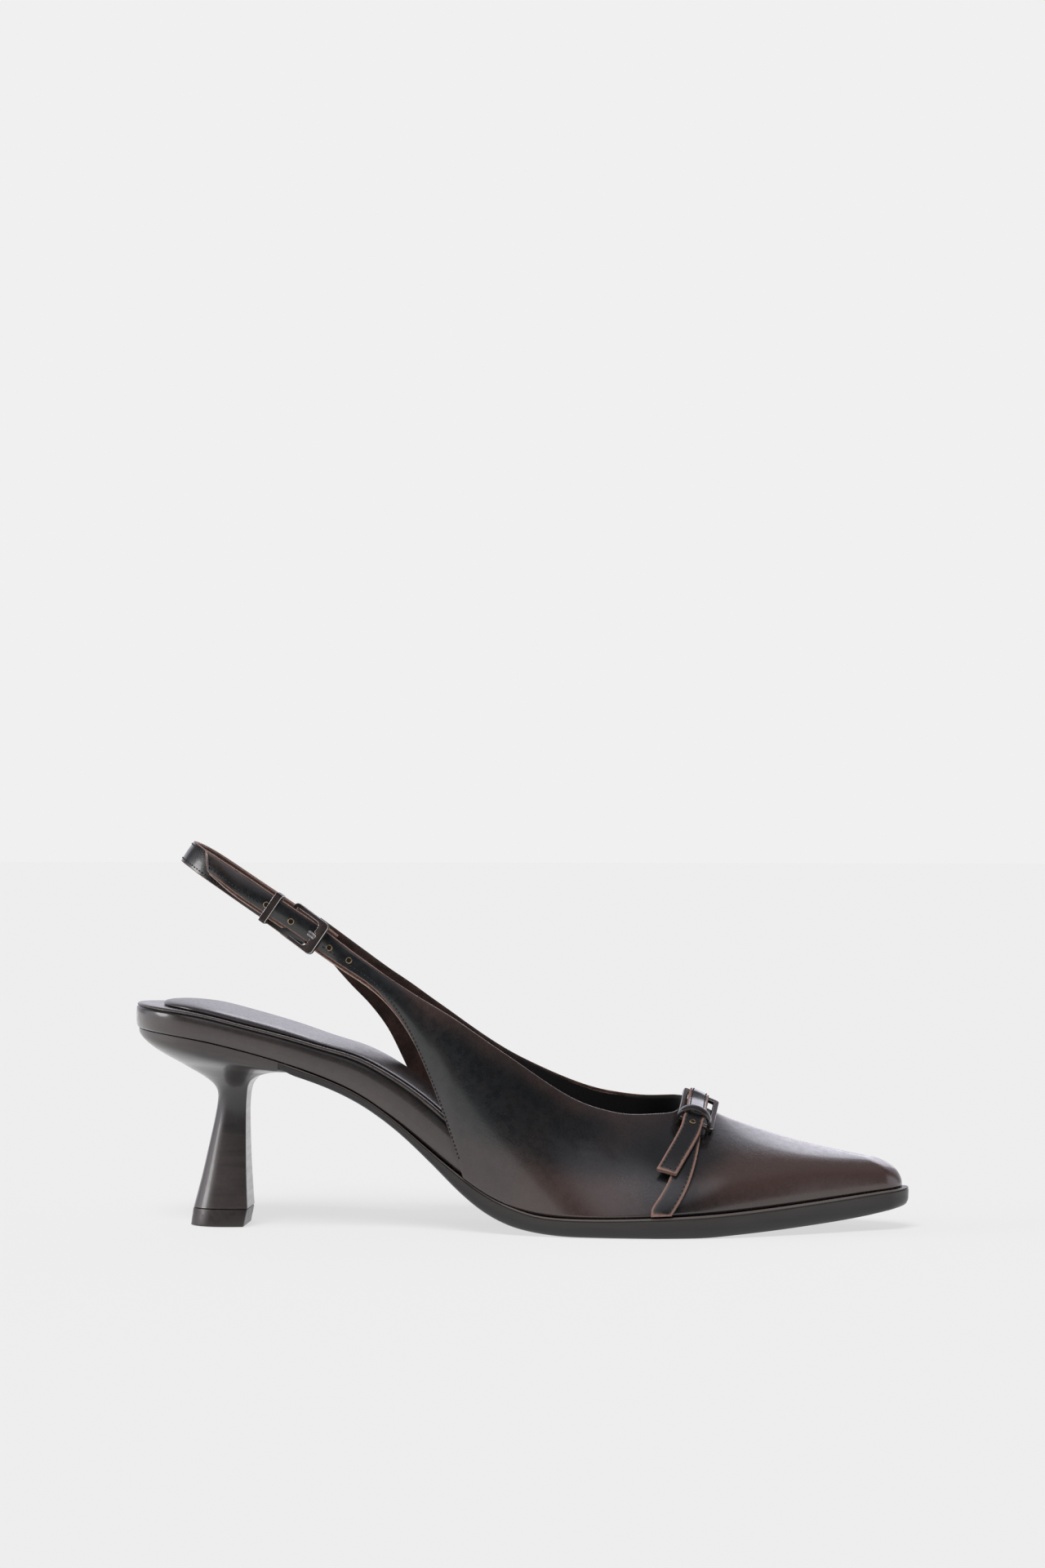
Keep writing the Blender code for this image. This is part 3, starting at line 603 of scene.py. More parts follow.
def footbed_inset(x):
    """The band sits at the sole's edge behind the quarters and inside the wall under them."""
    return 0.3 + 1.6 * blend(x, 80, 99) + 2.3 * blend(x, 112, 138)


def footbed_level(x, part=1.0):
    """Height of the footbed's band, from its foot at part 0 to its top at part 1."""
    return sole_top(x) + FOOTBED_GAP + part * read(SIDE, SIDE_COLUMNS, "band", x, 5.0)


def feather_inset(x):
    """The upper meets the sole inside the welt in front, and covers the band at its corners."""
    return -0.3 + 1.6 * blend(x, 112, 138)


def plan_y(x, side, inset, first, last, heel_radius, toe_radius):
    """Y of an outline inside the sole's plan, closed at its ends by quarter ellipses."""
    half = read(PLAN, PLAN_COLUMNS, "lateral" if side == LATERAL else "medial", x, 5.0) - inset
    heel = np.clip((x - first) / heel_radius, 0.0, 1.0) if heel_radius else np.ones_like(x)
    toe = np.clip((last - x) / toe_radius, 0.0, 1.0)
    half = half * np.sqrt(1 - (1 - heel) ** 2) * np.sqrt(1 - (1 - toe) ** 2)
    return read(PLAN, PLAN_COLUMNS, "middle", x, 5.0) + side * half


def outline(first, last, inset, heel_radius, toe_radius, count):
    """Closed plan outline: heel point, lateral side, toe point, then the medial side back."""
    turn = np.linspace(0, math.pi, count + 1)
    x = first + (last - first) * (1 - np.cos(turn)) / 2
    if not heel_radius:
        x = np.concatenate([x[:1], x])
    sides = [
        plan_y(x, side, inset(x), first, last, heel_radius, toe_radius) for side in (LATERAL, MEDIAL)
    ]
    middle = read(PLAN, PLAN_COLUMNS, "middle", x[[0, -1]])
    lateral = np.column_stack([x, sides[0]])[1:-1]
    medial = np.column_stack([x, sides[1]])[1:-1]
    return np.concatenate([[(x[0], middle[0])], lateral, [(x[-1], middle[1])], medial[::-1]])


def moved_in(loop, distance):
    """The outline moved inwards, each point along the normal of its neighbours' chord."""
    chord = np.roll(loop, -1, axis=0) - np.roll(loop, 1, axis=0)
    inward = unit(np.column_stack([-chord[:, 1], chord[:, 0]]))
    return loop + inward * distance


def across_cap(ring, crown=0.0):
    """A cap over a ring, in strips from its lateral to its medial side, raised by crown in the
    middle as 1 - t^2, and less where it is under 20 mm wide."""
    half = len(ring) // 2
    lateral = ring[: half + 1]
    medial = np.concatenate([ring[:1], ring[:half - 1:-1]])
    t = np.linspace(-1, 1, 9)[None, :, None]
    grid = (lateral[:, None] * (1 - t) + medial[:, None] * (1 + t)) / 2
    width = np.linalg.norm(lateral - medial, axis=1)[:, None, None]
    share = np.minimum(width / 20.0, 1.0)
    return grid_part(grid + UP * crown * (1 - t**2) * share)


def slab(loop, layers, height, taper=np.ones_like):
    """Rings over an outline. A layer starts with its inset, eased by taper(x), and its part of the
    height, which height(x, part) turns into Z."""
    rings = []
    for inset, part, *_ in layers:
        ring = moved_in(loop, inset * taper(loop[:, :1]))
        rings.append(np.column_stack([ring, height(ring[:, 0], part)]))
    return np.array(rings)


def of_layers(layers, column, rings):
    """One column of the layers' table, for every corner of the rings."""
    values = np.array([layer[column] for layer in layers])[:, None]
    return np.broadcast_to(values, (len(rings), rings.shape[1] + 1))


def ring_solid(rings, uv=None, crown=0.0):
    """Parts of a solid built of rings: its side, its underside, and its top raised by crown."""
    side = grid_part(rings, 0, uv, wrap_columns=True)
    return [side, across_cap(rings[0]), across_cap(rings[-1], crown)]


# The upper


def on_sole_point(side, x):
    """The feather line at each x."""
    y = plan_y(x, side, feather_inset(x), 0.0, FEATHER[0][1], 25.0, 5.0)
    return np.stack([x, y, sole_top(x) + FEATHER_GAP], axis=-1)


def low_point(side, rib):
    """The start of each rib: on the feather line, and past the corner on the quarter's back edge."""
    feather = FEATHER + ((CORNER_RIB, CORNER_X[side]),)
    on_sole = on_sole_point(side, read(feather, FEATHER_COLUMNS, "x", rib, 0.3))
    corner = on_sole_point(side, np.array([CORNER_X[side]], float))[0]
    back = ((CORNER_RIB, *corner),) + BACK_EDGE[side]
    edge = np.stack([read(back, EDGE_COLUMNS, name, rib) for name in "xyz"], axis=-1)
    return np.where((rib <= CORNER_RIB)[..., None], on_sole, edge)


def top_point(side, rib):
    """The end of each rib: on the ridge, and past the throat on the topline."""
    table = RIDGE[-1:] + TOPLINE[side]
    line = np.stack([read(table, EDGE_COLUMNS, name, rib, 0.3) for name in "xyz"], axis=-1)
    ridge = np.stack([read(RIDGE, EDGE_COLUMNS, name, rib, 0.3) for name in "xyz"], axis=-1)
    return np.where((rib <= THROAT_RIB)[..., None], ridge, line)


def upper_point(side, rib, v):
    """Outer face of the upper. Each rib is a cubic Bezier from its low point to its top point.

    In front its handles stand up from the sole and lie level at the ridge. In the quarters they
    follow the chord, pushed out by the bulge.
    """
    rib, v = np.broadcast_arrays(np.asarray(rib, float), np.asarray(v, float))
    low = low_point(side, rib)
    top = top_point(side, rib)
    bow = {name: read(BOW, BOW_COLUMNS, name, rib, 0.4)[..., None] for name in BOW_COLUMNS[1:]}
    facing = np.radians(bow["facing"][..., 0])
    out = np.stack([np.sin(facing), side * np.cos(facing), np.zeros_like(facing)], axis=-1)
    chord = top - low
    height = chord[..., 2:]
    width = np.abs((chord * out).sum(axis=-1, keepdims=True))
    ridge_slope = -0.225 - 0.125 * blend(rib, 1.0, 4.0)[..., None]
    level = out + UP * ridge_slope * out[..., :1]
    quarter = bow["quarter"]
    low_handle = (1 - quarter) * bow["low_up"] * height * UP + quarter * chord / 3
    top_handle = (1 - quarter) * (bow["top_out"] * width * level - bow["top_drop"] * height * UP)
    top_handle = top_handle - quarter * chord / 3
    second = low + low_handle + out * bow["bulge"]
    third = top + top_handle + out * bow["bulge"] * quarter
    v = v[..., None]
    return (1 - v) ** 3 * low + 3 * v * (1 - v) ** 2 * second + 3 * v**2 * (1 - v) * third + v**3 * top


def rib_length(side, rib):
    """Straight length of each rib."""
    return np.linalg.norm(top_point(side, rib) - low_point(side, rib), axis=-1)


def upper_frame(side, rib, v):
    """Point, unit direction down the ribs' numbers, direction up the rib, and outward normal."""
    step_rib, step_v = 0.04, 0.01
    last = LAST_RIB[side]
    ahead = upper_point(side, np.minimum(rib + step_rib, last), v)
    behind = upper_point(side, np.maximum(rib - step_rib, 0), v)
    above = upper_point(side, rib, np.minimum(v + step_v, 1))
    below = upper_point(side, rib, np.maximum(v - step_v, 0))
    back = unit(ahead - behind)
    up = unit(above - below)
    return upper_point(side, rib, v), back, up, unit(np.cross(back, up)) * side


# Soft creases pressed into the leather: from rib and v, to rib and v, reach and depth
CREASES = (
    (10.9, 0.74, 9.3, 0.60, 1.3, 0.09),
    (10.6, 0.66, 9.2, 0.52, 1.1, 0.08),
    (11.4, 0.72, 10.2, 0.52, 1.4, 0.07),
    (12.8, 0.80, 11.2, 0.66, 1.6, 0.07),
    (6.3, 0.52, 5.7, 0.40, 1.0, 0.05),
)

# Where the leather is finely wrinkled: x and z of the middle, reach along x and z, and strength
WRINKLES = (
    (141.0, 33.0, 17.0, 7.0, 1.0),
    (198.0, 23.0, 11.0, 7.0, 1.0),
    (212.0, 19.0, 16.0, 5.0, 0.7),
    (160.0, 16.0, 26.0, 6.0, 0.45),
    (120.0, 30.0, 14.0, 12.0, 0.35),
)


def wrinkled(point):
    """Share of fine wrinkles: a base, and the sum of exp(-d^2) over the patches, d in reaches."""
    base = 0.05
    total = np.full(point.shape[:-1], base)
    for x, z, reach_x, reach_z, strength in WRINKLES:
        d = ((point[..., 0] - x) / reach_x) ** 2 + ((point[..., 2] - z) / reach_z) ** 2
        total = total + strength * np.exp(-d)
    return total


def crease_depth(rib, v):
    """Depth of the soft troughs: each falls off from its wavering line as exp(-(d/reach)^2), and to
    its ends as 1 - s^4, with a ridge half as high 1.7 reaches beside it."""
    depth = np.zeros(np.broadcast(rib, v).shape)
    millimetres = np.array([RIB_SPACING, RIB_LENGTH])
    here = np.stack(np.broadcast_arrays(rib, v), axis=-1) * millimetres
    for rib_a, v_a, rib_b, v_b, reach, deep in CREASES:
        start = np.array([rib_a, v_a]) * millimetres
        way = np.array([rib_b, v_b]) * millimetres - start
        length = np.linalg.norm(way)
        way = way / length
        off = here - start
        s = off @ way / length * 2 - 1
        waver = 1.2 * np.sin(3.1 * s)
        d = (off[..., 0] * -way[1] + off[..., 1] * way[0] + waver) / reach
        fade = np.clip(1 - s**4, 0.0, 1.0)
        depth += deep * fade * (np.exp(-(d**2)) - 0.5 * np.exp(-((d - 1.7) ** 2)))
    return depth


def crown_height(rib, v):
    """The quarter's strap stands up between its edges as a parabola, 4v(1 - v)."""
    return STRAP_CROWN * blend(rib, 20.5, 22.5) * 4 * v * (1 - v)


def rubbed_and_shaded(rib, v):
    """How brown the leather is painted, for its rub-off finish and for painted light and shade: the
    table's five heights, joined by smooth steps.
    """
    stops = (0.0, 0.22, 0.5, 0.8, 1.0)
    columns = [read(RUB_AND_SHADE, RUB_AND_SHADE_COLUMNS, name, rib, 0.5) for name in RUB_AND_SHADE_COLUMNS[1:]]
    total = columns[0]
    for k in range(1, len(stops)):
        total = total + (columns[k] - columns[k - 1]) * blend(v, stops[k - 1], stops[k])
    return total


def rolled_in(away, radius=0.9):
    """How far the leather turns in over its top edge: nearly a quarter round,
    r * (1 - sqrt(1 - 0.96 * (1 - d/r)^2)) at the distance d from it."""
    short = np.clip(1 - away / radius, 0.0, 1.0)
    return radius * (1 - np.sqrt(1 - 0.96 * short**2))


def crest_drop(away, radius=1.3, slope=0.30):
    """How much the ridge is rounded off: slope * (sqrt(d^2 + r^2) - d) at the distance d from it."""
    return slope * (np.sqrt(away**2 + radius**2) - away)


def upper_sheet(side, first, inset_back, rows_per_rib, count):
    """Grid of one side of the upper, drawn in from the back edge, with its edge distances."""
    last = LAST_RIB[side]
    toe_rows, top_rows, near_top = 17, 8, 0.955
    rib = np.linspace(1, last, (last - 1) * rows_per_rib + 1)
    if first < 1:
        rib = np.concatenate([np.linspace(first, 1, toe_rows)[:-1], rib])
    rib = rib[rib >= first][:, None]
    t = np.concatenate([np.linspace(0, near_top, count)[:-1], np.linspace(near_top, 1, top_rows)])
    length = rib_length(side, rib)
    start = inset_back * blend(rib, CORNER_RIB - 0.05, CORNER_RIB + 0.5) / length
    v = start + (1 - start) * t[None, :]
    point, _, _, normal = upper_frame(side, rib, v)
    to_top = (1 - v) * length
    front = 1 - blend(rib, THROAT_RIB - 1.2, THROAT_RIB)
    depth = crease_depth(rib, v) + rolled_in(to_top) * blend(rib, THROAT_RIB, THROAT_RIB + 0.3)
    point = point + normal * (crown_height(rib, v) - depth)[..., None]
    point = point - UP * (crest_drop(to_top) * front * blend(rib, 0.0, 2.0))[..., None]
    to_top = np.hypot(to_top, np.maximum(THROAT_RIB - rib, 0) * RIB_SPACING)
    to_back = np.hypot((v - start) * length, np.maximum(CORNER_RIB - rib, 0) * RIB_SPACING)
    to_end = (last - rib) * RIB_SPACING
    edge = np.minimum(np.minimum(to_top, to_back), to_end)
    # The tone carries the rub-off finish together with the painted light and shade of the table.
    uv = corner_values(edge, rib * RIB_SPACING, rubbed_and_shaded(rib, v), wrinkled(point))
    return grid_part(point, 0, uv, flip=side == LATERAL)


def shell(name, parts, start, thickness, materials):
    """A sheet set in by start along its normals and given a wall inwards, with its own rim."""
    item = add_piece(name, parts, materials, sharp=60.0, closed=False)
    mesh = item.data
    count = len(mesh.vertices)
    place = np.empty(count * 3, np.float32)
    normal = np.empty(count * 3, np.float32)
    mesh.vertices.foreach_get("co", place)
    mesh.vertices.foreach_get("normal", normal)
    mesh.vertices.foreach_set("co", place - normal * start * MILLIMETRE)
    wall = item.modifiers.new("wall", "SOLIDIFY")
    wall.thickness = thickness * MILLIMETRE
    wall.offset = -1.0
    wall.material_offset = 1
    wall.material_offset_rim = 2
    return item


def make_upper(leather, suede, edge_band, rim):
    """The leather, cut back from the quarter's edge, and the lining that shows behind it. The
    lining stops short of the toe's tip, where there is no room for its wall."""
    sides = (LATERAL, MEDIAL)
    outer = [upper_sheet(side, 0, EDGE_BAND, rows_per_rib=10, count=42) for side in sides]
    inner = [upper_sheet(side, 1.6, 0.0, rows_per_rib=5, count=22) for side in sides]
    skin = shell("upper_leather", outer, 0.0, LEATHER_THICKNESS, [leather, suede, rim])
    lining = shell("upper_lining", inner, LEATHER_THICKNESS, LINING_THICKNESS, [edge_band, suede, rim])
    placed(skin, "upper_leather", "upper")
    placed(lining, "upper_leather")


def upper_stitches(name, side, rib, v, thread):
    """A row of stitches through places (rib, v) of the upper."""
    point, _, _, normal = upper_frame(side, rib, v)
    point = point + normal * crown_height(rib, v)[:, None]
    way = unit(np.gradient(point, axis=0))
    placed(stitch_row(name, point, way, normal, UPPER_STITCH, thread), "upper_leather")


def make_upper_stitches(thread):
    """Rows beside the back edges and the tail's lower edge, and one across the tail's end."""
    from_back = EDGE_BAND + 1.7
    end_rib = 25.9
    rows = (
        ("quarter_stitches_lateral", LATERAL, 14.12, 22.3),
        ("tail_stitches_lower", LATERAL, 24.3, end_rib),
        ("quarter_stitches_medial", MEDIAL, 14.12, 22.9),
    )
    for name, side, first, last in rows:
        rib = np.linspace(first, last, 160)
        upper_stitches(name, side, rib, from_back / rib_length(side, rib), thread)
    v = np.linspace(0.2, 0.9, 30)
    upper_stitches("tail_stitches_end", LATERAL, np.full(len(v), end_rib), v, thread)


# Straps


def sling_frames(steps):
    """Points on the outer face of the sling strap, with its width and outward directions."""
    step = 0.01
    places = []
    for shift in (-step, 0.0, step):
        at = np.clip(steps + shift, 0, LOOP[-1][0])
        places.append(np.stack([read(LOOP, LOOP_COLUMNS, name, at, 0.5) for name in "xyz"], axis=-1))
    along = unit(places[2] - places[0])
    outward = unit(np.cross(STRAP_UPWARD, along))
    across = unit(np.cross(outward, along))
    return places[1], across, outward, along


def vamp_frames(table, places):
    """Points over the upper along the vamp strap, with its width and outward directions."""

    def surface(at, rib_shift=0.0):
        rib = read(table, STRAP_COLUMNS, "rib", at, 0.05) + rib_shift
        lateral = upper_point(LATERAL, rib, np.clip(at, 0, 1))
        medial = upper_point(MEDIAL, rib, np.clip(2 - at, 0, 1))
        return np.where((at <= 1)[:, None], lateral, medial)

    centres = surface(places)
    step = 0.02
    along = unit(surface(places + step) - surface(places - step))
    toeward = unit(surface(places, -0.1) - surface(places, 0.1))
    outward = unit(np.cross(toeward, along))
    outward = outward * np.sign(outward[:, 2:3] + 1e-9)
    across = unit(np.cross(outward, along))
    rise = read(table, STRAP_COLUMNS, "rise", places, 0.03)[:, None]
    return centres + outward * rise, across, outward, along


def make_sling(strap_leather, thread):
    """The strap round the heel. Under the tail it hangs a little lower, so its raw edge shows."""
    steps = np.linspace(0, LOOP[-1][0], 260)
    outer, across, outward, along = sling_frames(steps)
    outer = outer + across * (SLING_DROP * (1 - blend(steps, 3.2, 5.5)))[:, None]
    inner = outer - outward * SLING_THICKNESS
    piece = strap_piece(
        "sling_strap_leather", inner, across, outward, SLING_WIDTH, SLING_THICKNESS, [strap_leather],
        lambda s: 0.12 + 0.1 * np.sin(9 * s),
    )
    placed(piece, "strap_leather", "sling_strap")
    from_middle = SLING_WIDTH / 2 - 1.1
    lift = 0.02
    for label, offset in (("lower", from_middle), ("upper", -from_middle)):
        line = outer + across * offset + outward * lift
        row = stitch_row("sling_stitches_" + label, line, along, outward, SLING_STITCH, thread)
        placed(row, "strap_leather")


def make_sling_fold(strap_leather):
    """End of the sling strap, which on the shoe folds round the buckle's hinge bar; here it is a strip
    lying under the holed strap.

    It bows inwards by half a millimetre as sin(pi * s) and narrows over its last third.
    """
    start = np.array([47.2, -19.9, 101.9])
    end = np.array([58.6, -21.3, 94.1])
    bow = np.array([0.0, -0.5, 0.0])
    full, narrowing, thickness = 8.2, 2.4, 1.1
    s = np.linspace(0, 1, 24)[:, None]
    path = start + (end - start) * s + bow * np.sin(math.pi * s)
    along = unit(np.gradient(path, axis=0))
    outward = unit(np.cross(along, STRAP_UPWARD))
    across = unit(np.cross(outward, along))
    width = full - narrowing * np.clip((s[:, 0] - 0.7) / 0.3, 0, 1) ** 2
    piece = strap_piece(
        "sling_strap_fold", path, across, outward, 1.0, thickness, [strap_leather],
        lambda t: 0.1 + 0 * t, wide=width,
    )
    placed(piece, "strap_leather")


def cut_level(table, path, across, along, outward, end):
    """Width directions sheared near a foot, so that its cut lies along the sole's edge.

    The shear s makes (across + s * along) lie along the feather line at the foot, and fades out
    over ten millimetres.
    """
    rib = np.array([table[end][STRAP_COLUMNS.index("rib")]])
    side = LATERAL if table[end][0] < 1 else MEDIAL
    edge = unit(low_point(side, rib - 0.1) - low_point(side, rib + 0.1))[0]
    rise = np.cross(outward[end], edge)
    shear = -(across[end] @ rise) / (along[end] @ rise)
    length = travelled(path)
    away = length if end == 0 else length[-1] - length
    return across + along * (shear * (1 - blend(away, 0.0, 10.0)))[:, None]


def make_vamp_straps(strap_leather, thread):
    """The base strap, stitched beside its toe edge, and the long strap, stitched all round."""
    straps = (
        ("vamp_base", VAMP_BASE, 90, 0),
        ("vamp_strap", VAMP_LONG, 240, -1),
    )
    sole_end = 1.995
    from_middle = VAMP_STRAP_WIDTH / 2 - 1.05
    face = VAMP_STRAP_THICKNESS + 0.03
    for node_name, table, count, foot in straps:
        first = 0.0 if foot == 0 else table[0][0]
        last = sole_end if foot == -1 else table[-1][0]
        places = np.linspace(first, last, count)
        path, across, outward, along = vamp_frames(table, places)
        across = cut_level(table, path, across, along, outward, foot)
        piece = strap_piece(
            node_name + "_leather", path, across, outward, VAMP_STRAP_WIDTH, VAMP_STRAP_THICKNESS,
            [strap_leather], lambda s: 0.08 + 0.05 * np.sin(7 * s),
        )
        placed(piece, "strap_leather", node_name)
        toe_side = from_middle if across[0][0] > 0 else -from_middle
        offsets = (("toe", toe_side),) if foot == 0 else (("toe", toe_side), ("heel", -toe_side))
        for label, offset in offsets:
            line = path + across * offset + outward * face
            row = stitch_row(
                f"{node_name}_stitches_{label}", line, along, outward, VAMP_STITCH, thread
            )
            placed(row, "strap_leather")
        if foot == -1:
            tail_end_stitches(path, across, outward, face + 0.1, thread)


def tail_end_stitches(path, across, outward, lift, thread):
    """The short row across the long strap's free end."""
    from_end = 1.15
    at = np.searchsorted(travelled(path), from_end)
    share = np.linspace(-0.62, 0.62, 20)[:, None]
    line = path[at] + across[at] * share * VAMP_STRAP_WIDTH / 2 + outward[at] * lift
    way = np.broadcast_to(across[at], line.shape)
    out = np.broadcast_to(outward[at], line.shape)
    row = stitch_row("vamp_strap_stitches_end", line, way, out, TAIL_END_STITCH, thread)
    placed(row, "strap_leather")


# Metal


def rounded_box(width, height, radius, steps=8):
    """Outline of a rectangle with round corners, anticlockwise from its right side."""
    turn = np.linspace(0, math.pi / 2, steps + 1)
    parts = []
    for k, (sign_x, sign_y) in enumerate(((1, 1), (-1, 1), (-1, -1), (1, -1))):
        angle = turn + k * math.pi / 2
        parts.append(
            np.column_stack(
                [
                    sign_x * (width / 2 - radius) + radius * np.cos(angle),
                    sign_y * (height / 2 - radius) + radius * np.sin(angle),
                ]
            )
        )
    return np.concatenate(parts)


def dense(outline_points, count):
    """A closed outline read at equal distances along it."""
    closed = np.concatenate([outline_points, outline_points[:1]])
    length = travelled(closed)
    return resampled(closed, np.linspace(0, length[-1], count, endpoint=False), length)


def radial(outline_points, angles):
    """Points of a closed outline at the given angles from its middle."""
    points = dense(outline_points, 1500)
    angle = np.arctan2(points[:, 1], points[:, 0])
    order = np.argsort(angle)
    radius = np.hypot(points[:, 0], points[:, 1])[order]
    reach = np.interp(angles, angle[order], radius, period=2 * math.pi)
    return np.column_stack([np.cos(angles), np.sin(angles)]) * reach[:, None]


def frame_grid(outer, inner, thickness, bevel, steps=4):
    """A flat frame between two outlines: a rounded section from inner to outer, carried round.

    Returns the grid (round, section, 3) and its edge values, 0 on the rounds and 0.34 on the flats.
    """
    turn = np.linspace(0, math.pi / 2, steps)
    corner = np.column_stack([1 - np.sin(turn), 1 - np.cos(turn)]) * bevel
    low_left = corner
    high_left = corner[::-1] * (1, -1) + (0, thickness)
    high_right = corner * (-1, -1) + (0, thickness)
    low_right = corner[::-1] * (-1, 1)
    share = np.concatenate([np.zeros(2 * steps), np.ones(2 * steps)])
    section = np.concatenate([low_left, high_left, high_right, low_right])
    width = np.linalg.norm(outer - inner, axis=1)[:, None]
    way = unit(outer - inner)
    reach = share[None] * width + section[None, :, 0]
    flat = inner[:, None] + way[:, None] * reach[..., None]
    height = np.broadcast_to(section[None, :, 1] - thickness / 2, reach.shape)
    grid = np.concatenate([flat, height[..., None]], axis=-1)
    on_flat = np.arange(len(section)) % steps % (steps - 1) == 0
    return grid, np.broadcast_to(np.where(on_flat, 0.34, 0.0), reach.shape)


def in_axes(grid, axes):
    """Local points placed by axes: origin + x * along + y * across + z * normal."""
    along, across, normal, origin = axes
    return origin + grid[..., :1] * along + grid[..., 1:2] * across + grid[..., 2:] * normal


def axes_from(along, across, origin):
    """Unit axes with x along, y across and z out of the plate, and the origin."""
    along = unit(np.asarray(along, float))
    normal = unit(np.cross(along, np.asarray(across, float)))
    return along, np.cross(normal, along), normal, np.asarray(origin, float)


def frame_piece(name, outer, inner, thickness, bevel, axes, material):
    """A buckle's frame, closed both ways, with the wear of its corners in the edge map."""
    grid, from_edge = frame_grid(outer, inner, thickness, bevel)
    uv = corner_values(from_edge, tone=0.0)
    uv = closed_round(np.concatenate([uv, uv[:1]]))
    part = grid_part(in_axes(grid, axes), 0, uv, wrap_rows=True, wrap_columns=True)
    return add_piece(name, [part], [material], sharp=32.0)


def bar_piece(name, length, width, height, axes, material, bow=0.0):
    """A small rounded bar: a superellipse section carried along x, bowed outwards by bow(1 - s^2),
    with a groove 0.45 * height * exp(-(y / (0.16 * width))^2) deep along its top."""
    half_worn = 0.17
    s = np.linspace(-1, 1, 21)
    ease = np.sqrt(np.clip(1 - np.abs(s) ** 6, 0.0, 1.0))[:, None]
    turn = np.linspace(0, 2 * math.pi, 49)[:-1][None, :]
    y = width / 2 * ease * np.sign(np.cos(turn)) * np.abs(np.cos(turn)) ** 0.6
    z = height / 2 * ease * np.sign(np.sin(turn)) * np.abs(np.sin(turn)) ** 0.6
    z = z - np.where(z > 0, 0.45 * height * np.exp(-((y / (0.16 * width)) ** 2)), 0.0)
    x = np.broadcast_to(s[:, None] * length / 2, y.shape)
    grid = np.stack([x, y, z + bow * (1 - s[:, None] ** 2)], axis=-1)
    uv = closed_round(corner_values(np.full(y.shape, half_worn), tone=0.0))
    part = grid_part(in_axes(grid, axes), 0, uv, wrap_columns=True)
    return add_piece(name, [part], [material], sharp=60.0)


def sling_buckle_axes():
    """The frame lies from the sling strap at its hinge bar to the outside of the quarter's strap."""
    hinge = np.array([52.4, -20.4, 100.1])
    tongue = np.array([62.4, -25.2, 93.3])
    to_middle = 6.4
    along = unit(tongue - hinge)
    return axes_from(along, STRAP_UPWARD, hinge + along * to_middle)


def notched_hole():
    """Inside of the sling buckle: a window with a round seat for the prong on the toe side."""
    left, right, half = -5.6, 4.0, 4.4
    chamfer, seat_half, seat_depth = 0.9, 1.25, 1.2
    turn = np.linspace(-math.pi / 2, math.pi / 2, 9)
    low = np.array(
        [
            (left, half),
            (left, -half),
            (right - chamfer, -half),
            (right, -half + chamfer),
            (right, -seat_half),
        ]
    )
    seat = np.column_stack([right + seat_depth * np.cos(turn), seat_half * np.sin(turn)])[1:-1]
    high = np.array([(right, seat_half), (right, half - chamfer), (right - chamfer, half)])
    return np.concatenate([low, seat, high])


def make_sling_metal(metal):
    """The sling buckle's frame and prong, and the metal loop that keeps the tail."""
    frame_size, keeper_size, keeper_hole = (14.6, 11.6, 1.6), (6.0, 10.8, 0.8), (4.7, 8.6, 0.3)
    axes = sling_buckle_axes()
    inner = dense(notched_hole(), 240)
    angles = np.arctan2(inner[:, 1], inner[:, 0])
    outer = radial(rounded_box(*frame_size), angles)
    buckle = frame_piece("sling_buckle_frame", outer, inner, 1.3, 0.22, axes, metal)
    placed(buckle, "buckle_metal", "sling_buckle")
    along, across, normal, origin = axes
    prong_axes = (along, across, normal, origin + along * 3.7 + normal * 0.35)
    prong = bar_piece("sling_buckle_prong", 3.4, 1.95, 1.2, prong_axes, metal)
    placed(prong, "buckle_metal", "sling_prong")
    strap_way = np.array([math.cos(STRAP_LEAN), -0.08, -math.sin(STRAP_LEAN)])
    out = unit(np.cross(STRAP_UPWARD, unit(strap_way)))
    keeper_axes = axes_from(out, STRAP_UPWARD, (46.8, -20.85, 103.25))
    angles = np.linspace(0, 2 * math.pi, 160, endpoint=False)
    loops = [radial(rounded_box(*size), angles) for size in (keeper_size, keeper_hole)]
    keeper = frame_piece("sling_keeper_loop", *loops, 2.4, 0.2, keeper_axes, metal)
    placed(keeper, "buckle_metal", "sling_keeper")


def make_vamp_metal(metal):
    """The vamp buckle's frame, and its prong on the medial side."""
    axes = axes_from(VAMP_FRAME["medialward"], VAMP_FRAME["heelward"], VAMP_FRAME["middle"])
    length, width = VAMP_FRAME["length"], VAMP_FRAME["width"]
    hole_size = (length - 2 * VAMP_FRAME["end_bar"], width - 2 * VAMP_FRAME["side_bar"], 0.4)
    angles = np.linspace(0, 2 * math.pi, 200, endpoint=False)
    outer = radial(rounded_box(length, width, 1.0), angles)
    inner = radial(rounded_box(*hole_size), angles)
    buckle = frame_piece("vamp_buckle_frame", outer, inner, 1.3, 0.24, axes, metal)
    placed(buckle, "buckle_metal", "vamp_buckle")
    along, across, normal, origin = axes
    prong_middle = origin + along * (length / 2 - 3.9) + normal * 1.35
    prong_axes = (along, across, normal, prong_middle)
    prong = bar_piece("vamp_buckle_prong", 7.6, 1.8, 1.0, prong_axes, metal, bow=0.3)
    placed(prong, "buckle_metal", "vamp_prong")


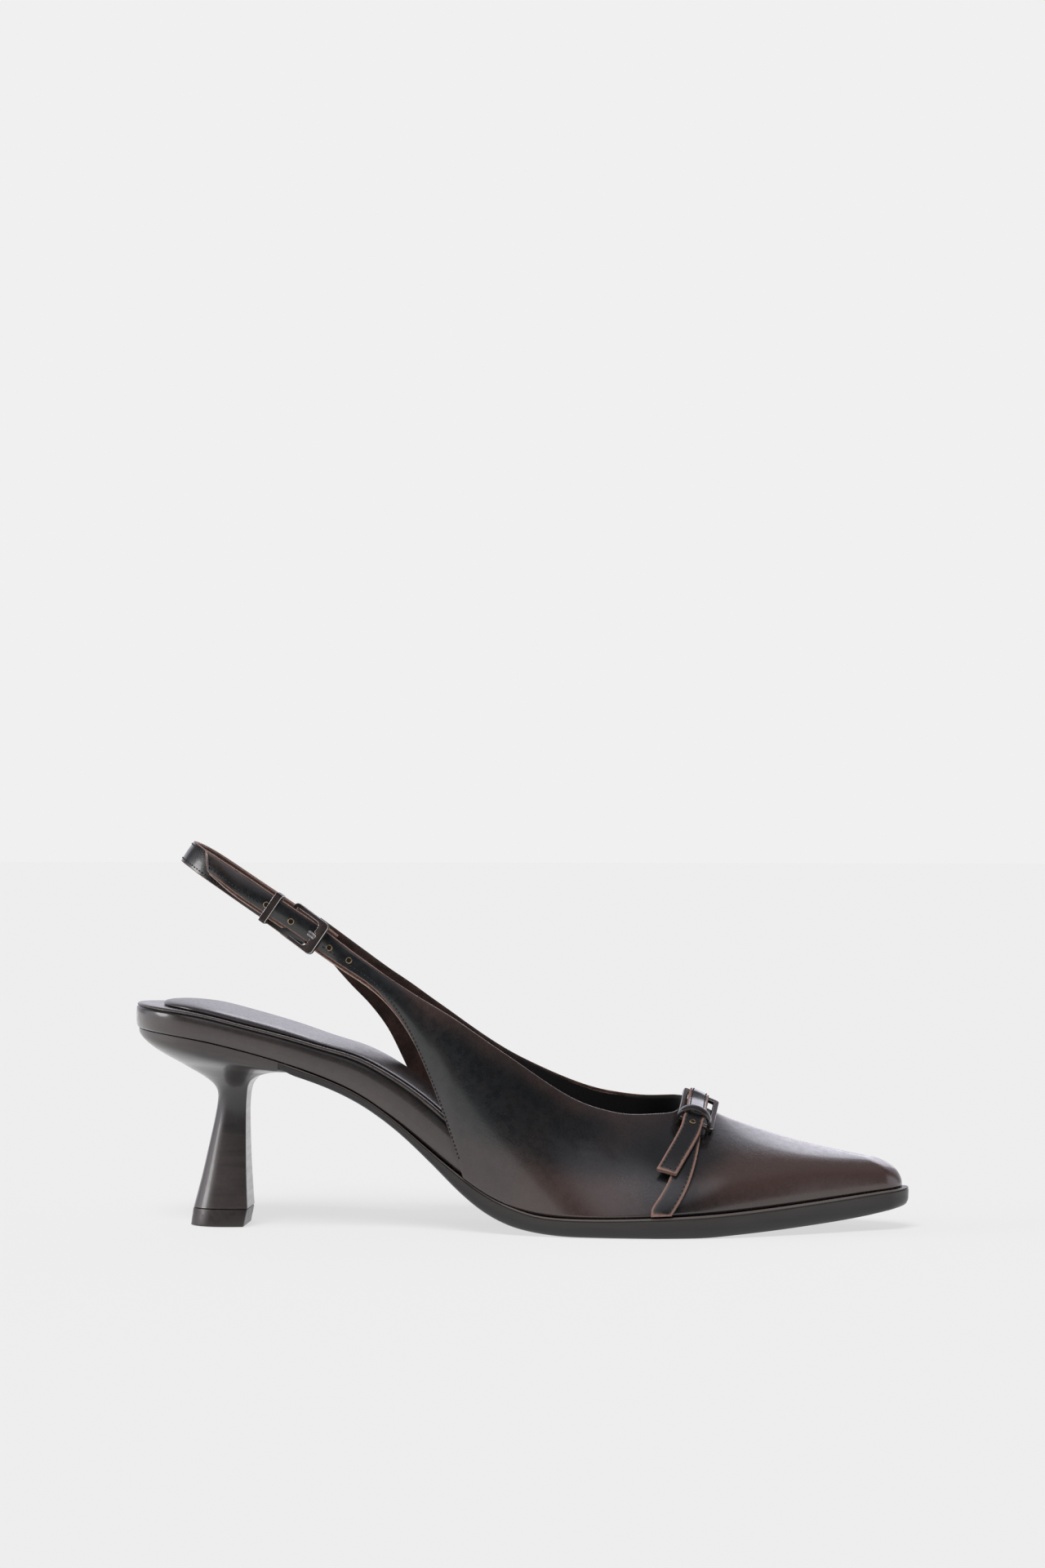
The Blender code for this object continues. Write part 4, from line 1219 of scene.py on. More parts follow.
def make_leather_keeper(leather):
    """Leather loop over the tail: two legs joined by half an ellipse, with a crowned section."""
    half, foot, spring, top = 5.1, -0.5, 3.4, 8.2
    width, thickness, edge_round, crown = 2.7, 1.1, 0.3, 0.12
    strap, strap_across, strap_out, _ = vamp_frames(VAMP_LONG, np.array([KEEPER_PLACE]))
    rise = read(VAMP_LONG, STRAP_COLUMNS, "rise", KEEPER_PLACE, 0.03)
    axes = axes_from(strap_across[0], strap_out[0], strap[0] - strap_out[0] * rise)
    turn = np.linspace(0, math.pi, 49)
    leg = np.linspace(foot, spring, 10)[:-1]
    right = np.column_stack([np.full(len(leg), half), leg])
    arch = np.column_stack([half * np.cos(turn), spring + (top - spring) * np.sin(turn)])
    path = np.concatenate([right, arch, right[::-1] * (-1, 1)])
    tangent = unit(np.gradient(path, axis=0))
    normal = np.column_stack([tangent[:, 1], -tangent[:, 0]])
    section, from_edge = band_profile(width, thickness, edge_round, crown)
    local_path = np.column_stack([path, np.zeros(len(path))])
    outward = np.column_stack([normal, np.zeros(len(path))])
    across = np.broadcast_to(UP, local_path.shape)
    inside = local_path - outward * thickness / 2
    grid = in_axes(sweep(inside, across, outward, section, np.ones(len(path))), axes)
    edge = np.broadcast_to(from_edge + 0.12, grid.shape[:2])
    uv = closed_round(corner_values(edge, tone=0.3))
    parts = [grid_part(grid, 0, uv, wrap_columns=True), *end_caps(grid)]
    piece = add_piece("vamp_keeper_leather", parts, [leather], sharp=50.0)
    placed(piece, "strap_leather", "vamp_keeper")


def ring_grid(radius, thickness, count=24, steps=10):
    """A torus: a circle of the thickness carried round a circle of the radius."""
    about = np.linspace(0, 2 * math.pi, count, endpoint=False)[:, None]
    turn = np.linspace(0, 2 * math.pi, steps, endpoint=False)[None, :]
    reach = radius + thickness * np.cos(turn)
    height = np.broadcast_to(thickness * np.sin(turn), (count, steps))
    return np.stack([reach * np.cos(about), reach * np.sin(about), height], axis=-1)


def eyelet(name, axes, metal, dark):
    """A rolled rim round a hole, the hole a shallow dish just above the strap's face, painted near black
    as the hole's shade.
    """
    radius, roll = 0.82, 0.27
    rim = grid_part(in_axes(ring_grid(radius, roll), axes), 0, wrap_rows=True, wrap_columns=True)
    turn = np.linspace(0, 2 * math.pi, 24, endpoint=False)[None, :]
    reach = np.array([0.0, 0.45, 0.75, 0.75, 0.0])[:, None]
    height = np.array([0.04, 0.05, 0.1, -0.35, -0.35])[:, None]
    dish = np.stack([reach * np.cos(turn), reach * np.sin(turn), height + 0 * turn], axis=-1)
    hole = grid_part(in_axes(dish, axes), 1, wrap_columns=True)
    placed(add_piece(name, [rim, hole], [metal, dark], sharp=60.0), "buckle_metal")


def make_eyelets(brass, dark):
    """Holes on the quarter's strap, found by their place in the side view, and one on the tail."""
    rib = np.linspace(20, 26, 400)[:, None]
    v = np.linspace(0.1, 0.9, 60)[None, :]
    point = upper_point(LATERAL, rib, v)
    for k, (x, z) in enumerate(SLING_HOLES_XZ):
        off = (point[..., 0] - x) ** 2 + (point[..., 2] - z) ** 2
        i, j = np.unravel_index(np.argmin(off), off.shape)
        at = (rib[i], v[0, j : j + 1])
        place, back, up, normal = upper_frame(LATERAL, *at)
        face = place[0] + normal[0] * (crown_height(*at)[0] + 0.02)
        eyelet(f"sling_eyelet_{k + 1}", axes_from(up[0], -back[0], face), brass, dark)
    path, across, outward, _ = vamp_frames(VAMP_LONG, np.array([TAIL_HOLE_PLACE]))
    face = path[0] + outward[0] * (VAMP_STRAP_THICKNESS + 0.16)
    tail_axes = axes_from(across[0], np.cross(outward[0], across[0]), face)
    eyelet("vamp_eyelet", tail_axes, brass, dark)


# Sole and heel


def make_outsole(sole):
    """Outsole with a chamfered underside, a rounded side and a fine bead at its top edge. Its back
    end thins out inside the heel."""

    def inset(x):
        return 0.6 * (1 - blend(x, 108, 140)) + 0.5 * (1 - blend(x, 46, 62))

    def height(x, part):
        full = sole_top(x) - sole_bottom(x)
        return sole_top(x) - (1 - part) * full * blend(x, 42.0, 55.0)

    def taper(x):
        return 0.15 + 0.85 * blend(x, 52, 75)

    # Inset, part of the height, and distance from the pale top line, which also sets how far the side
    # darkens downwards as painted shade
    layers = (
        (1.3, 0, 5.0),
        (0.75, 0.06, 4.6),
        (0.28, 0.2, 4.2),
        (0.08, 0.35, 3.4),
        (0.0, 0.7, 1.4),
        (0.0, 0.84, 0.8),
        (0.22, 0.875, 0.6),
        (0.06, 0.92, 0.1),
        (0.12, 0.97, 0.0),
        (0.4, 1, 0.25),
    )
    rings = slab(outline(43.0, 250.0, inset, 0, 6.0, 200), layers, height, taper)
    parts = ring_solid(rings, corner_values(of_layers(layers, 2, rings)))
    placed(add_piece("outsole_welt", parts, [sole], sharp=35.0), "sole", "outsole")


def make_footbed(band):
    """Wrapped band, its lip folded in over a groove round the sock."""
    # Inset, part of the height, distance from the pale line that is painted as a highlight along the lip,
    # and how brown it is painted: paler low on the band where it is lit, dark in the groove under the lip
    # and paler on the lip, as painted light and shade
    layers = (
        (1.1, 0, 6.0, 0.9),
        (0.45, 0.02, 6.0, 0.9),
        (0.12, 0.08, 6.0, 0.9),
        (0.0, 0.3, 6.0, 0.85),
        (0.0, 0.6, 6.0, 0.6),
        (0.08, 0.78, 6.0, 0.35),
        (0.3, 0.84, 6.0, 0.2),
        (0.75, 0.865, 6.0, 0.0),
        (0.62, 0.885, 6.0, 0.0),
        (0.36, 0.91, 0.35, 0.5),
        (0.42, 0.95, 0.35, 0.6),
        (0.85, 0.99, 6.0, 0.4),
        (1.6, 1.0, 6.0, 0.3),
    )
    rings = slab(outline(0.0, 243.0, footbed_inset, 25.0, 5.0, 170), layers, footbed_level)
    uv = corner_values(of_layers(layers, 2, rings), tone=of_layers(layers, 3, rings))
    piece = add_piece("footbed_band", ring_solid(rings, uv), [band], sharp=50.0)
    placed(piece, "band_leather", "footbed")


def make_sock(sock):
    """Padded insole sock: its side rolls over into a domed top."""

    def inset(x):
        return footbed_inset(x) + 3.4 + 0.6 * blend(x, 112, 138)

    def height(x, part):
        pad = read(SIDE, SIDE_COLUMNS, "pad", x, 5.0) + 0.4
        return footbed_level(x) + 0.12 + part * pad

    # Inset, and part of the height
    layers = (
        (0.5, 0),
        (0.12, 0.06),
        (0.0, 0.22),
        (0.25, 0.42),
        (0.9, 0.6),
        (2.0, 0.74),
        (3.6, 0.85),
        (5.6, 0.93),
        (8.0, 0.985),
    )
    rings = slab(outline(9.0, 240.0, inset, 20.0, 4.0, 150), layers, height)
    item = add_piece("sock_pad", ring_solid(rings, crown=0.15), [sock], sharp=70.0)
    placed(item, "sock_leather", "sock")


def heel_ring(row, seat_share, count=60):
    """One heel section: round at the back, straighter at the sides, flat at the breast with small
    round corners. At the seat it takes the sole's outline."""
    back_x, back_z, front_x, front_z, half_width = row
    round_end, corner_start, corner_width, side_loss = 0.62, 0.955, 0.86, 0.06
    breast = [0.55, 0.25]
    turn = np.linspace(0, math.pi / 2, count)
    corner_turn = np.linspace(0, math.pi / 2, 12)
    side = np.linspace(round_end, corner_start, 20)[1:-1]
    along = np.concatenate(
        [
            round_end * (1 - np.cos(turn)),
            side,
            corner_start + (1 - corner_start) * np.sin(corner_turn),
            np.ones(len(breast)),
        ]
    )
    width = np.concatenate(
        [
            np.sin(turn),
            1 - side_loss * ((side - round_end) / (corner_start - round_end)) ** 2,
            corner_width + 0.08 * np.cos(corner_turn),
            breast,
        ]
    )
    front_count = len(corner_turn) + len(breast)
    x = back_x + (front_x - back_x) * along
    z = back_z + (front_z - back_z) * along
    halves = []
    for way in (LATERAL, MEDIAL):
        seat = plan_y(x, way, 0.75, 0.9, 250, 25.0, 6.0)
        y = way * half_width * width * (1 - seat_share) + seat * seat_share
        y[-front_count:] = way * half_width * width[-front_count:]
        halves.append(np.column_stack([x, y, z]))
    front = np.array([[front_x, 0.0, front_z]])
    return np.concatenate([halves[0], front, halves[1][:0:-1]])


def make_heel(cover, rubber):
    """Covered heel flared down to its top piece, with a fine seam under the footbed."""
    steps = np.linspace(0, HEEL_SEAT_ROW, 121)
    values = np.column_stack([read(HEEL, HEEL_COLUMNS, name, steps, 0.5) for name in HEEL_COLUMNS[1:]])
    share = blend(steps, HEEL_SEAT_ROW - 3, HEEL_SEAT_ROW)
    rings = np.array([heel_ring(row, part) for row, part in zip(values, share)])
    seam = 0.22
    rings[-1, :, 2] = footbed_level(rings[-1, :, 0], 0) - seam
    # Paler towards both ends and darker at mid height: painted light on the flare under the seat, which
    # catches the light.
    tone = 0.65 - 0.35 * np.sin(steps / HEEL_SEAT_ROW * math.pi)[:, None]
    uv = corner_values(np.full((len(rings), rings.shape[1] + 1), UNCUT[0]), tone=tone)
    piece = add_piece("heel_cover", ring_solid(rings, uv), [cover], sharp=45.0)
    placed(piece, "heel_cover", "heel")
    tip = np.array([heel_ring(row, 0.0) for row in HEEL_TIP])
    placed(add_piece("heel_top_piece", ring_solid(tip), [rubber]), "top_piece", "heel_tip")


# Materials


def set_input(tree, socket, value):
    """Give a socket a value, or link another node's output to it."""
    if isinstance(value, bpy.types.NodeSocket):
        tree.links.new(value, socket)
    else:
        socket.default_value = value


def node(tree, kind, inputs=None, **settings):
    """A node of one kind. An input is a value or another node's output."""
    item = tree.nodes.new(kind)
    for key, value in settings.items():
        setattr(item, key, value)
    for key, value in (inputs or {}).items():
        set_input(tree, item.inputs[key], value)
    return item


def maths(tree, operation, first, second=0.0, third=None, clamp=False):
    """The value of one sum on up to three numbers or outputs."""
    values = {0: first, 1: second}
    if third is not None:
        values[2] = third
    return node(tree, "ShaderNodeMath", values, operation=operation, use_clamp=clamp).outputs[0]


def stepped(tree, value, low, high, start=0.0, end=1.0):
    """A smooth step of a value from low to high."""
    inputs = {"Value": value, "From Min": low, "From Max": high, "To Min": start, "To Max": end}
    return node(tree, "ShaderNodeMapRange", inputs, interpolation_type="SMOOTHSTEP").outputs["Result"]


def mixed(tree, share, first, second):
    """Two colours mixed by a share. A colour is three numbers or another node's output."""
    item = tree.nodes.new("ShaderNodeMix")
    item.data_type = "RGBA"
    set_input(tree, item.inputs[0], share)
    for index, value in ((6, first), (7, second)):
        linked = isinstance(value, bpy.types.NodeSocket)
        set_input(tree, item.inputs[index], value if linked else (*value, 1.0))
    return item.outputs[2]


def times(colour, factor):
    """A colour made darker or paler by a factor."""
    return tuple(factor * value for value in colour)


def noise(tree, vector, scale, detail=2.0, roughness=0.5, distortion=0.0):
    """The share of a cloud noise at each place."""
    inputs = {"Vector": vector, "Scale": scale, "Detail": detail}
    inputs.update({"Roughness": roughness, "Distortion": distortion})
    return node(tree, "ShaderNodeTexNoise", inputs).outputs["Fac"]


def about_zero(tree, value):
    """A share moved to lie about zero."""
    return maths(tree, "SUBTRACT", value, 0.5)


def stretched(tree, vector, scale, turn=0.0):
    """Places turned about Y, then scaled, for a pattern drawn out along a slant."""
    turned = node(tree, "ShaderNodeMapping", {"Vector": vector, "Rotation": (0.0, turn, 0.0)}).outputs[0]
    return node(tree, "ShaderNodeMapping", {"Vector": turned, "Scale": scale}).outputs[0]


def new_group(name, inputs, outputs):
    """An empty shader group with its named sockets."""
    tree = bpy.data.node_groups.new(name, "ShaderNodeTree")
    for way, sockets in (("INPUT", inputs), ("OUTPUT", outputs)):
        for title, kind, value in sockets:
            socket = tree.interface.new_socket(title, in_out=way, socket_type=kind)
            if value is not None:
                socket.default_value = value
    return tree, tree.nodes.new("NodeGroupInput").outputs, tree.nodes.new("NodeGroupOutput").inputs


FLOAT, VECTOR, COLOUR = "NodeSocketFloat", "NodeSocketVector", "NodeSocketColor"


def grain_group():
    """Hide grain: small uneven cells, fine pores and slanting drawn-out wrinkles, as one height.

    A wrinkle is the crest of a stretched noise, |n - 0.5|, times the share of wrinkles.
    """
    sockets = (("Vector", VECTOR, None), ("Cells", FLOAT, 1.0), ("Wrinkles", FLOAT, 0.3))
    tree, given, result = new_group("hide_grain", sockets, (("Height", FLOAT, None),))
    place = given["Vector"]
    cells = node(
        tree, "ShaderNodeTexVoronoi", {"Vector": place, "Scale": 1300.0, "Randomness": 1.0},
        feature="F1", distance="EUCLIDEAN",
    ).outputs["Distance"]
    pores = noise(tree, place, 3000.0, 2.0)
    soft = noise(tree, place, 520.0, 3.0, 0.6)
    broad = noise(tree, place, 130.0, 2.0)
    pebble = maths(tree, "MULTIPLY", maths(tree, "SUBTRACT", 1.0, cells), given["Cells"])
    turned = stretched(tree, place, (300.0, 500.0, 1500.0), math.radians(-48))
    crest = maths(tree, "ABSOLUTE", about_zero(tree, noise(tree, turned, 1.0, 2.0, 0.55, 0.5)))
    wrinkle = maths(tree, "MULTIPLY", stepped(tree, crest, 0.0, 0.12), given["Wrinkles"])
    height = maths(tree, "MULTIPLY", pores, 0.05)
    for layer, depth in ((pebble, 0.16), (soft, 0.30), (broad, 0.9), (wrinkle, 0.30)):
        height = maths(tree, "MULTIPLY_ADD", layer, depth, height)
    tree.links.new(height, result["Height"])
    return tree


def burnish_and_shade_group():
    """Rub-off finish, with the painted light and shade that the share carries on the upper, band and
    heel: brown where the share is high, near black where it is low, with cloudy borders and a fine
    speckle."""
    colours = (("Dark", COLOUR, None), ("Brown", COLOUR, None))
    sockets = (("Vector", VECTOR, None), ("Share", FLOAT, 0.5), *colours)
    tree, given, result = new_group("burnish", sockets, (("Color", COLOUR, None),))
    cloud = noise(tree, given["Vector"], 55.0, 4.0, 0.6, 0.4)
    speck = noise(tree, given["Vector"], 1400.0, 3.0, 0.7)
    share = maths(tree, "MULTIPLY_ADD", about_zero(tree, cloud), 0.55, given["Share"])
    share = maths(tree, "MULTIPLY_ADD", about_zero(tree, speck), 0.35, share)
    share = stepped(tree, share, 0.02, 0.98)
    tree.links.new(mixed(tree, share, given["Dark"], given["Brown"]), result["Color"])
    return tree


def cut_edge_group():
    """Cut edge: a mask that is 1 where the distance from the edge is under the width, along a ragged
    line, the fibres' tone, and a mask of the lining."""
    sockets = (("Vector", VECTOR, None), ("Distance", FLOAT, 9.0), ("Width", FLOAT, 0.3))
    results = (("Mask", FLOAT, None), ("Fibre", FLOAT, None), ("Lining", FLOAT, None))
    tree, given, result = new_group("cut_edge", sockets, results)
    ragged = about_zero(tree, noise(tree, given["Vector"], 900.0, 3.0, 0.7))
    line = maths(tree, "MULTIPLY_ADD", ragged, 0.5, given["Distance"])
    low = maths(tree, "MULTIPLY", given["Width"], 0.6)
    high = maths(tree, "MULTIPLY", given["Width"], 1.3)
    mask = maths(tree, "SUBTRACT", 1.0, stepped(tree, line, low, high))
    tree.links.new(mask, result["Mask"])
    tree.links.new(noise(tree, given["Vector"], 1800.0, 4.0, 0.75), result["Fibre"])
    tree.links.new(maths(tree, "LESS_THAN", given["Distance"], -0.5), result["Lining"])
    return tree


# Colours of cut leather and of rubbed edges: their darker and their paler fibres. The band's pale fibres
# paint a highlight along its lip.
RAW = ((0.075, 0.040, 0.031), (0.34, 0.215, 0.175))
RAW_DARK = ((0.020, 0.011, 0.009), (0.085, 0.050, 0.040))
# The suede lining's colours are darkened to paint the shade inside the shoe.
SUEDE_WITH_SHADE = ((0.009, 0.0052, 0.0043), (0.034, 0.0185, 0.0148))
BAND_LIP_HIGHLIGHT = ((0.06, 0.05, 0.045), (0.15, 0.13, 0.12))


def group_node(tree, group, inputs):
    """Outputs of a shader group put to use in a tree."""
    return node(tree, "ShaderNodeGroup", inputs, node_tree=group).outputs


def burnished(tree, groups, place, share, dark, brown):
    """The burnished colour at each place, with the painted light and shade that its share carries."""
    inputs = {"Vector": place, "Share": share, "Dark": (*dark, 1.0), "Brown": (*brown, 1.0)}
    return group_node(tree, groups["burnish"], inputs)["Color"]


def cut_edge(tree, groups, place, distance, width):
    """The masks and the fibres' tone of a cut edge."""
    inputs = {"Vector": place, "Distance": distance, "Width": width}
    return group_node(tree, groups["cut_edge"], inputs)


def grain(tree, groups, place, cells, wrinkles):
    """The height of the hide's grain."""
    inputs = {"Vector": place, "Cells": cells, "Wrinkles": wrinkles}
    return group_node(tree, groups["grain"], inputs)["Height"]


def new_material(name, **plain):
    """A material with its Principled shader; plain values go on the shader's own sockets."""
    material = bpy.data.materials.new(name)
    material.use_nodes = True
    tree = material.node_tree
    shader = tree.nodes["Principled BSDF"]
    for key, value in plain.items():
        shader.inputs[key.replace("_", " ").title().replace("Ior", "IOR")].default_value = value
    return material, tree, shader


def object_place(tree):
    """Places on the finished object, in metres."""
    return node(tree, "ShaderNodeTexCoord").outputs["Object"]


def map_values(tree, name):
    """The two numbers of a UV map."""
    uv = node(tree, "ShaderNodeUVMap", uv_map=name).outputs[0]
    split = node(tree, "ShaderNodeSeparateXYZ", {0: uv}).outputs
    return split[0], split[1]


def add_bump(tree, shader, height, distance, strength):
    """Bend the shader's normals by a height."""
    inputs = {"Height": height, "Distance": distance, "Strength": strength}
    normal = node(tree, "ShaderNodeBump", inputs).outputs["Normal"]
    tree.links.new(normal, shader.inputs["Normal"])


def leather_material(
    name, groups, dark, brown, edge_width, roughness, fibres=RAW, lining=None, edge_rub=0.0
):
    """Burnished leather: rub-off colour, which on the upper and the band also carries painted light and
    shade, cut edges, grain, wrinkles and a thin wax coat, which the cut edges lack."""
    material, tree, shader = new_material(
        name, coat_roughness=0.13, coat_ior=1.5, specular_ior_level=0.45,
    )
    coat = 0.6
    place = object_place(tree)
    distance, _ = map_values(tree, "edge")
    share, wrinkles = map_values(tree, "finish")
    if edge_rub:
        share = maths(tree, "ADD", share, stepped(tree, distance, edge_width, 1.5, edge_rub, 0.0))
    cut = cut_edge(tree, groups, place, distance, edge_width)
    raw = mixed(tree, cut["Fibre"], *fibres)
    colour = mixed(tree, cut["Mask"], burnished(tree, groups, place, share, dark, brown), raw)
    if lining:
        colour = mixed(tree, cut["Lining"], colour, lining)
    tree.links.new(colour, shader.inputs["Base Color"])
    sheen = noise(tree, place, 380.0, 3.0, 0.6)
    rough = stepped(tree, sheen, 0.3, 0.7, roughness - 0.06, roughness + 0.07)
    rough = maths(tree, "MULTIPLY_ADD", cut["Mask"], 0.35, rough)
    tree.links.new(rough, shader.inputs["Roughness"])
    waxed = maths(tree, "MULTIPLY_ADD", cut["Mask"], -coat, coat, clamp=True)
    tree.links.new(waxed, shader.inputs["Coat Weight"])
    fibre = maths(tree, "MULTIPLY", cut["Fibre"], cut["Mask"])
    height = maths(tree, "MULTIPLY_ADD", fibre, 1.6, grain(tree, groups, place, 0.8, wrinkles))
    add_bump(tree, shader, height, 0.00008, 0.7)
    return material


def raw_material(name, groups, dark, pale, line_width=0.0, line=None, front=None):
    """Cut leather fibre, matt and slightly furry. It can have a pale line along its own edge, and another
    colour in front of the shank, which on the suede lining is a painted shade, near black, for the shadow
    inside the shoe."""
    material, tree, shader = new_material(
        name, roughness=0.8, specular_ior_level=0.25, sheen_weight=0.1,
    )
    place = object_place(tree)
    fibre = noise(tree, place, 1500.0, 4.0, 0.75)
    patch = noise(tree, place, 240.0, 2.0)
    tone = maths(tree, "MULTIPLY_ADD", patch, 0.5, maths(tree, "MULTIPLY", fibre, 0.5))
    colour = mixed(tree, stepped(tree, tone, 0.3, 0.7), dark, pale)
    if front:
        # Painted shade: near black in front of the shank, where the inside of the shoe lies in shadow.
        forward = node(tree, "ShaderNodeSeparateXYZ", {0: place}).outputs["X"]
        colour = mixed(tree, stepped(tree, forward, -0.016, 0.006), colour, front)
    if line:
        distance, _ = map_values(tree, "edge")
        cut = cut_edge(tree, groups, place, distance, line_width)
        colour = mixed(tree, cut["Mask"], colour, line)
    tree.links.new(colour, shader.inputs["Base Color"])
    add_bump(tree, shader, fibre, 0.00014, 0.9)
    return material


def metal_material(name, face, wear, roughness):
    """Antique metal: a dark, finely pitted face with pale worn arrises."""
    material, tree, shader = new_material(name, metallic=1.0)
    place = object_place(tree)
    distance, _ = map_values(tree, "edge")
    pits = noise(tree, place, 3000.0, 3.0, 0.7)
    cloud = noise(tree, place, 500.0, 3.0)
    ragged = maths(tree, "MULTIPLY_ADD", about_zero(tree, cloud), 0.12, distance)
    bare = stepped(tree, ragged, 0.10, 0.26, 1.0, 0.0)
    tone = mixed(tree, pits, times(face, 0.55), times(face, 1.35))
    tree.links.new(mixed(tree, bare, tone, wear), shader.inputs["Base Color"])
    rough = maths(tree, "MULTIPLY_ADD", bare, -0.16, roughness)
    tree.links.new(maths(tree, "MULTIPLY_ADD", pits, 0.12, rough), shader.inputs["Roughness"])
    add_bump(tree, shader, pits, 0.00005, 0.6)
    return material


def sole_material(name, top, low, rub_and_highlight_colour, roughness):
    """Moulded sole: satin brown that darkens downwards as painted shade on its lower side, with a pale
    line along its top edge that is rubbed wear and a painted highlight, and level scuffs."""
    material, tree, shader = new_material(
        name, specular_ior_level=0.45, coat_roughness=0.3, coat_weight=0.12,
    )
    place = object_place(tree)
    distance, _ = map_values(tree, "edge")
    cloud = noise(tree, place, 120.0, 4.0, 0.6)
    pores = noise(tree, place, 2200.0, 2.0)
    # Painted shade: darker with distance below the top edge. The pale top line is rubbed wear and a
    # painted highlight.
    drop = stepped(tree, maths(tree, "MULTIPLY_ADD", cloud, 0.8, distance), 0.9, 3.9)
    line = stepped(tree, maths(tree, "MULTIPLY_ADD", cloud, 0.2, distance), 0.15, 0.45, 1.0, 0.0)
    colour = mixed(tree, line, mixed(tree, drop, top, low), rub_and_highlight_colour)
    tree.links.new(colour, shader.inputs["Base Color"])
    scuffs = noise(tree, stretched(tree, place, (60.0, 60.0, 700.0)), 1.0, 3.0, 0.6)
    rough = stepped(tree, scuffs, 0.3, 0.7, roughness - 0.06, roughness + 0.08)
    tree.links.new(rough, shader.inputs["Roughness"])
    height = maths(tree, "MULTIPLY_ADD", scuffs, 0.5, maths(tree, "MULTIPLY", pores, 0.3))
    add_bump(tree, shader, height, 0.00004, 0.6)
    return material


def heel_material(name, groups, dark, brown):
    """Covered heel: satin leather with faint level streaks of patina, on a tone that is paler towards its
    ends as painted light on the flare.
    """
    material, tree, shader = new_material(name, coat_weight=0.6, coat_roughness=0.17)
    place = object_place(tree)
    share, _ = map_values(tree, "finish")
    streak = noise(tree, stretched(tree, place, (60.0, 60.0, 420.0)), 1.0, 4.0, 0.6)
    share = maths(tree, "MULTIPLY_ADD", about_zero(tree, streak), 0.9, share)
    tree.links.new(burnished(tree, groups, place, share, dark, brown), shader.inputs["Base Color"])
    tree.links.new(stepped(tree, streak, 0.3, 0.7, 0.34, 0.46), shader.inputs["Roughness"])
    add_bump(tree, shader, grain(tree, groups, place, 0.6, 0.0), 0.00004, 0.6)
    return material


def plain_material(name, colour, roughness, scale, depth, **plain):
    """One colour with a slight cloud in tone, roughness and height."""
    material, tree, shader = new_material(name, **plain)
    cloud = noise(tree, object_place(tree), scale, 3.0, 0.6)
    shade = mixed(tree, cloud, times(colour, 0.7), times(colour, 1.25))
    tree.links.new(shade, shader.inputs["Base Color"])
    rough = stepped(tree, cloud, 0.3, 0.7, roughness - 0.05, roughness + 0.08)
    tree.links.new(rough, shader.inputs["Roughness"])
    add_bump(tree, shader, cloud, depth, 0.7)
    return material


# Stage


# The backdrop's tone, what the floor reflects of the lamps, and how brightly it glows for the
# camera, for mirror rays and for all others
FLOOR_TONE = 0.871
FLOOR_SHADE = 0.20
FLOOR_GLOW = 0.640
FLOOR_MIRRORED = 0.85
FLOOR_BOUNCED = 0.45


def make_floor():
    """A pale floor that glows at the backdrop's tone and takes only faint soft shadows."""
    size, drop = 6.0, 0.0002
    mesh = bpy.data.meshes.new("floor")
    corners = [(-size, -size, 0), (size, -size, 0), (size, size, 0), (-size, size, 0)]
    mesh.from_pydata(corners, [], [(0, 1, 2, 3)])
    floor = bpy.data.objects.new("floor", mesh)
    bpy.context.scene.collection.objects.link(floor)
    floor.location.z = -drop
    material = bpy.data.materials.new("pale_floor")
    material.use_nodes = True
    tree = material.node_tree
    tree.nodes.clear()
    path = node(tree, "ShaderNodeLightPath").outputs
    unseen = {0: path["Is Glossy Ray"], 2: FLOOR_BOUNCED, 3: FLOOR_MIRRORED}
    unseen = node(tree, "ShaderNodeMix", unseen).outputs[0]
    glow = {0: path["Is Camera Ray"], 2: unseen, 3: FLOOR_GLOW}
    glow = node(tree, "ShaderNodeMix", glow).outputs[0]
    light = node(tree, "ShaderNodeEmission", {"Color": (1.0, 1.0, 1.0, 1.0), "Strength": glow})
    matt = node(tree, "ShaderNodeBsdfDiffuse", {"Color": (FLOOR_SHADE, FLOOR_SHADE, FLOOR_SHADE, 1.0)})
    both = node(tree, "ShaderNodeAddShader", {0: light.outputs[0], 1: matt.outputs[0]})
    node(tree, "ShaderNodeOutputMaterial", {"Surface": both.outputs[0]}).is_active_output = True
    mesh.materials.append(material)


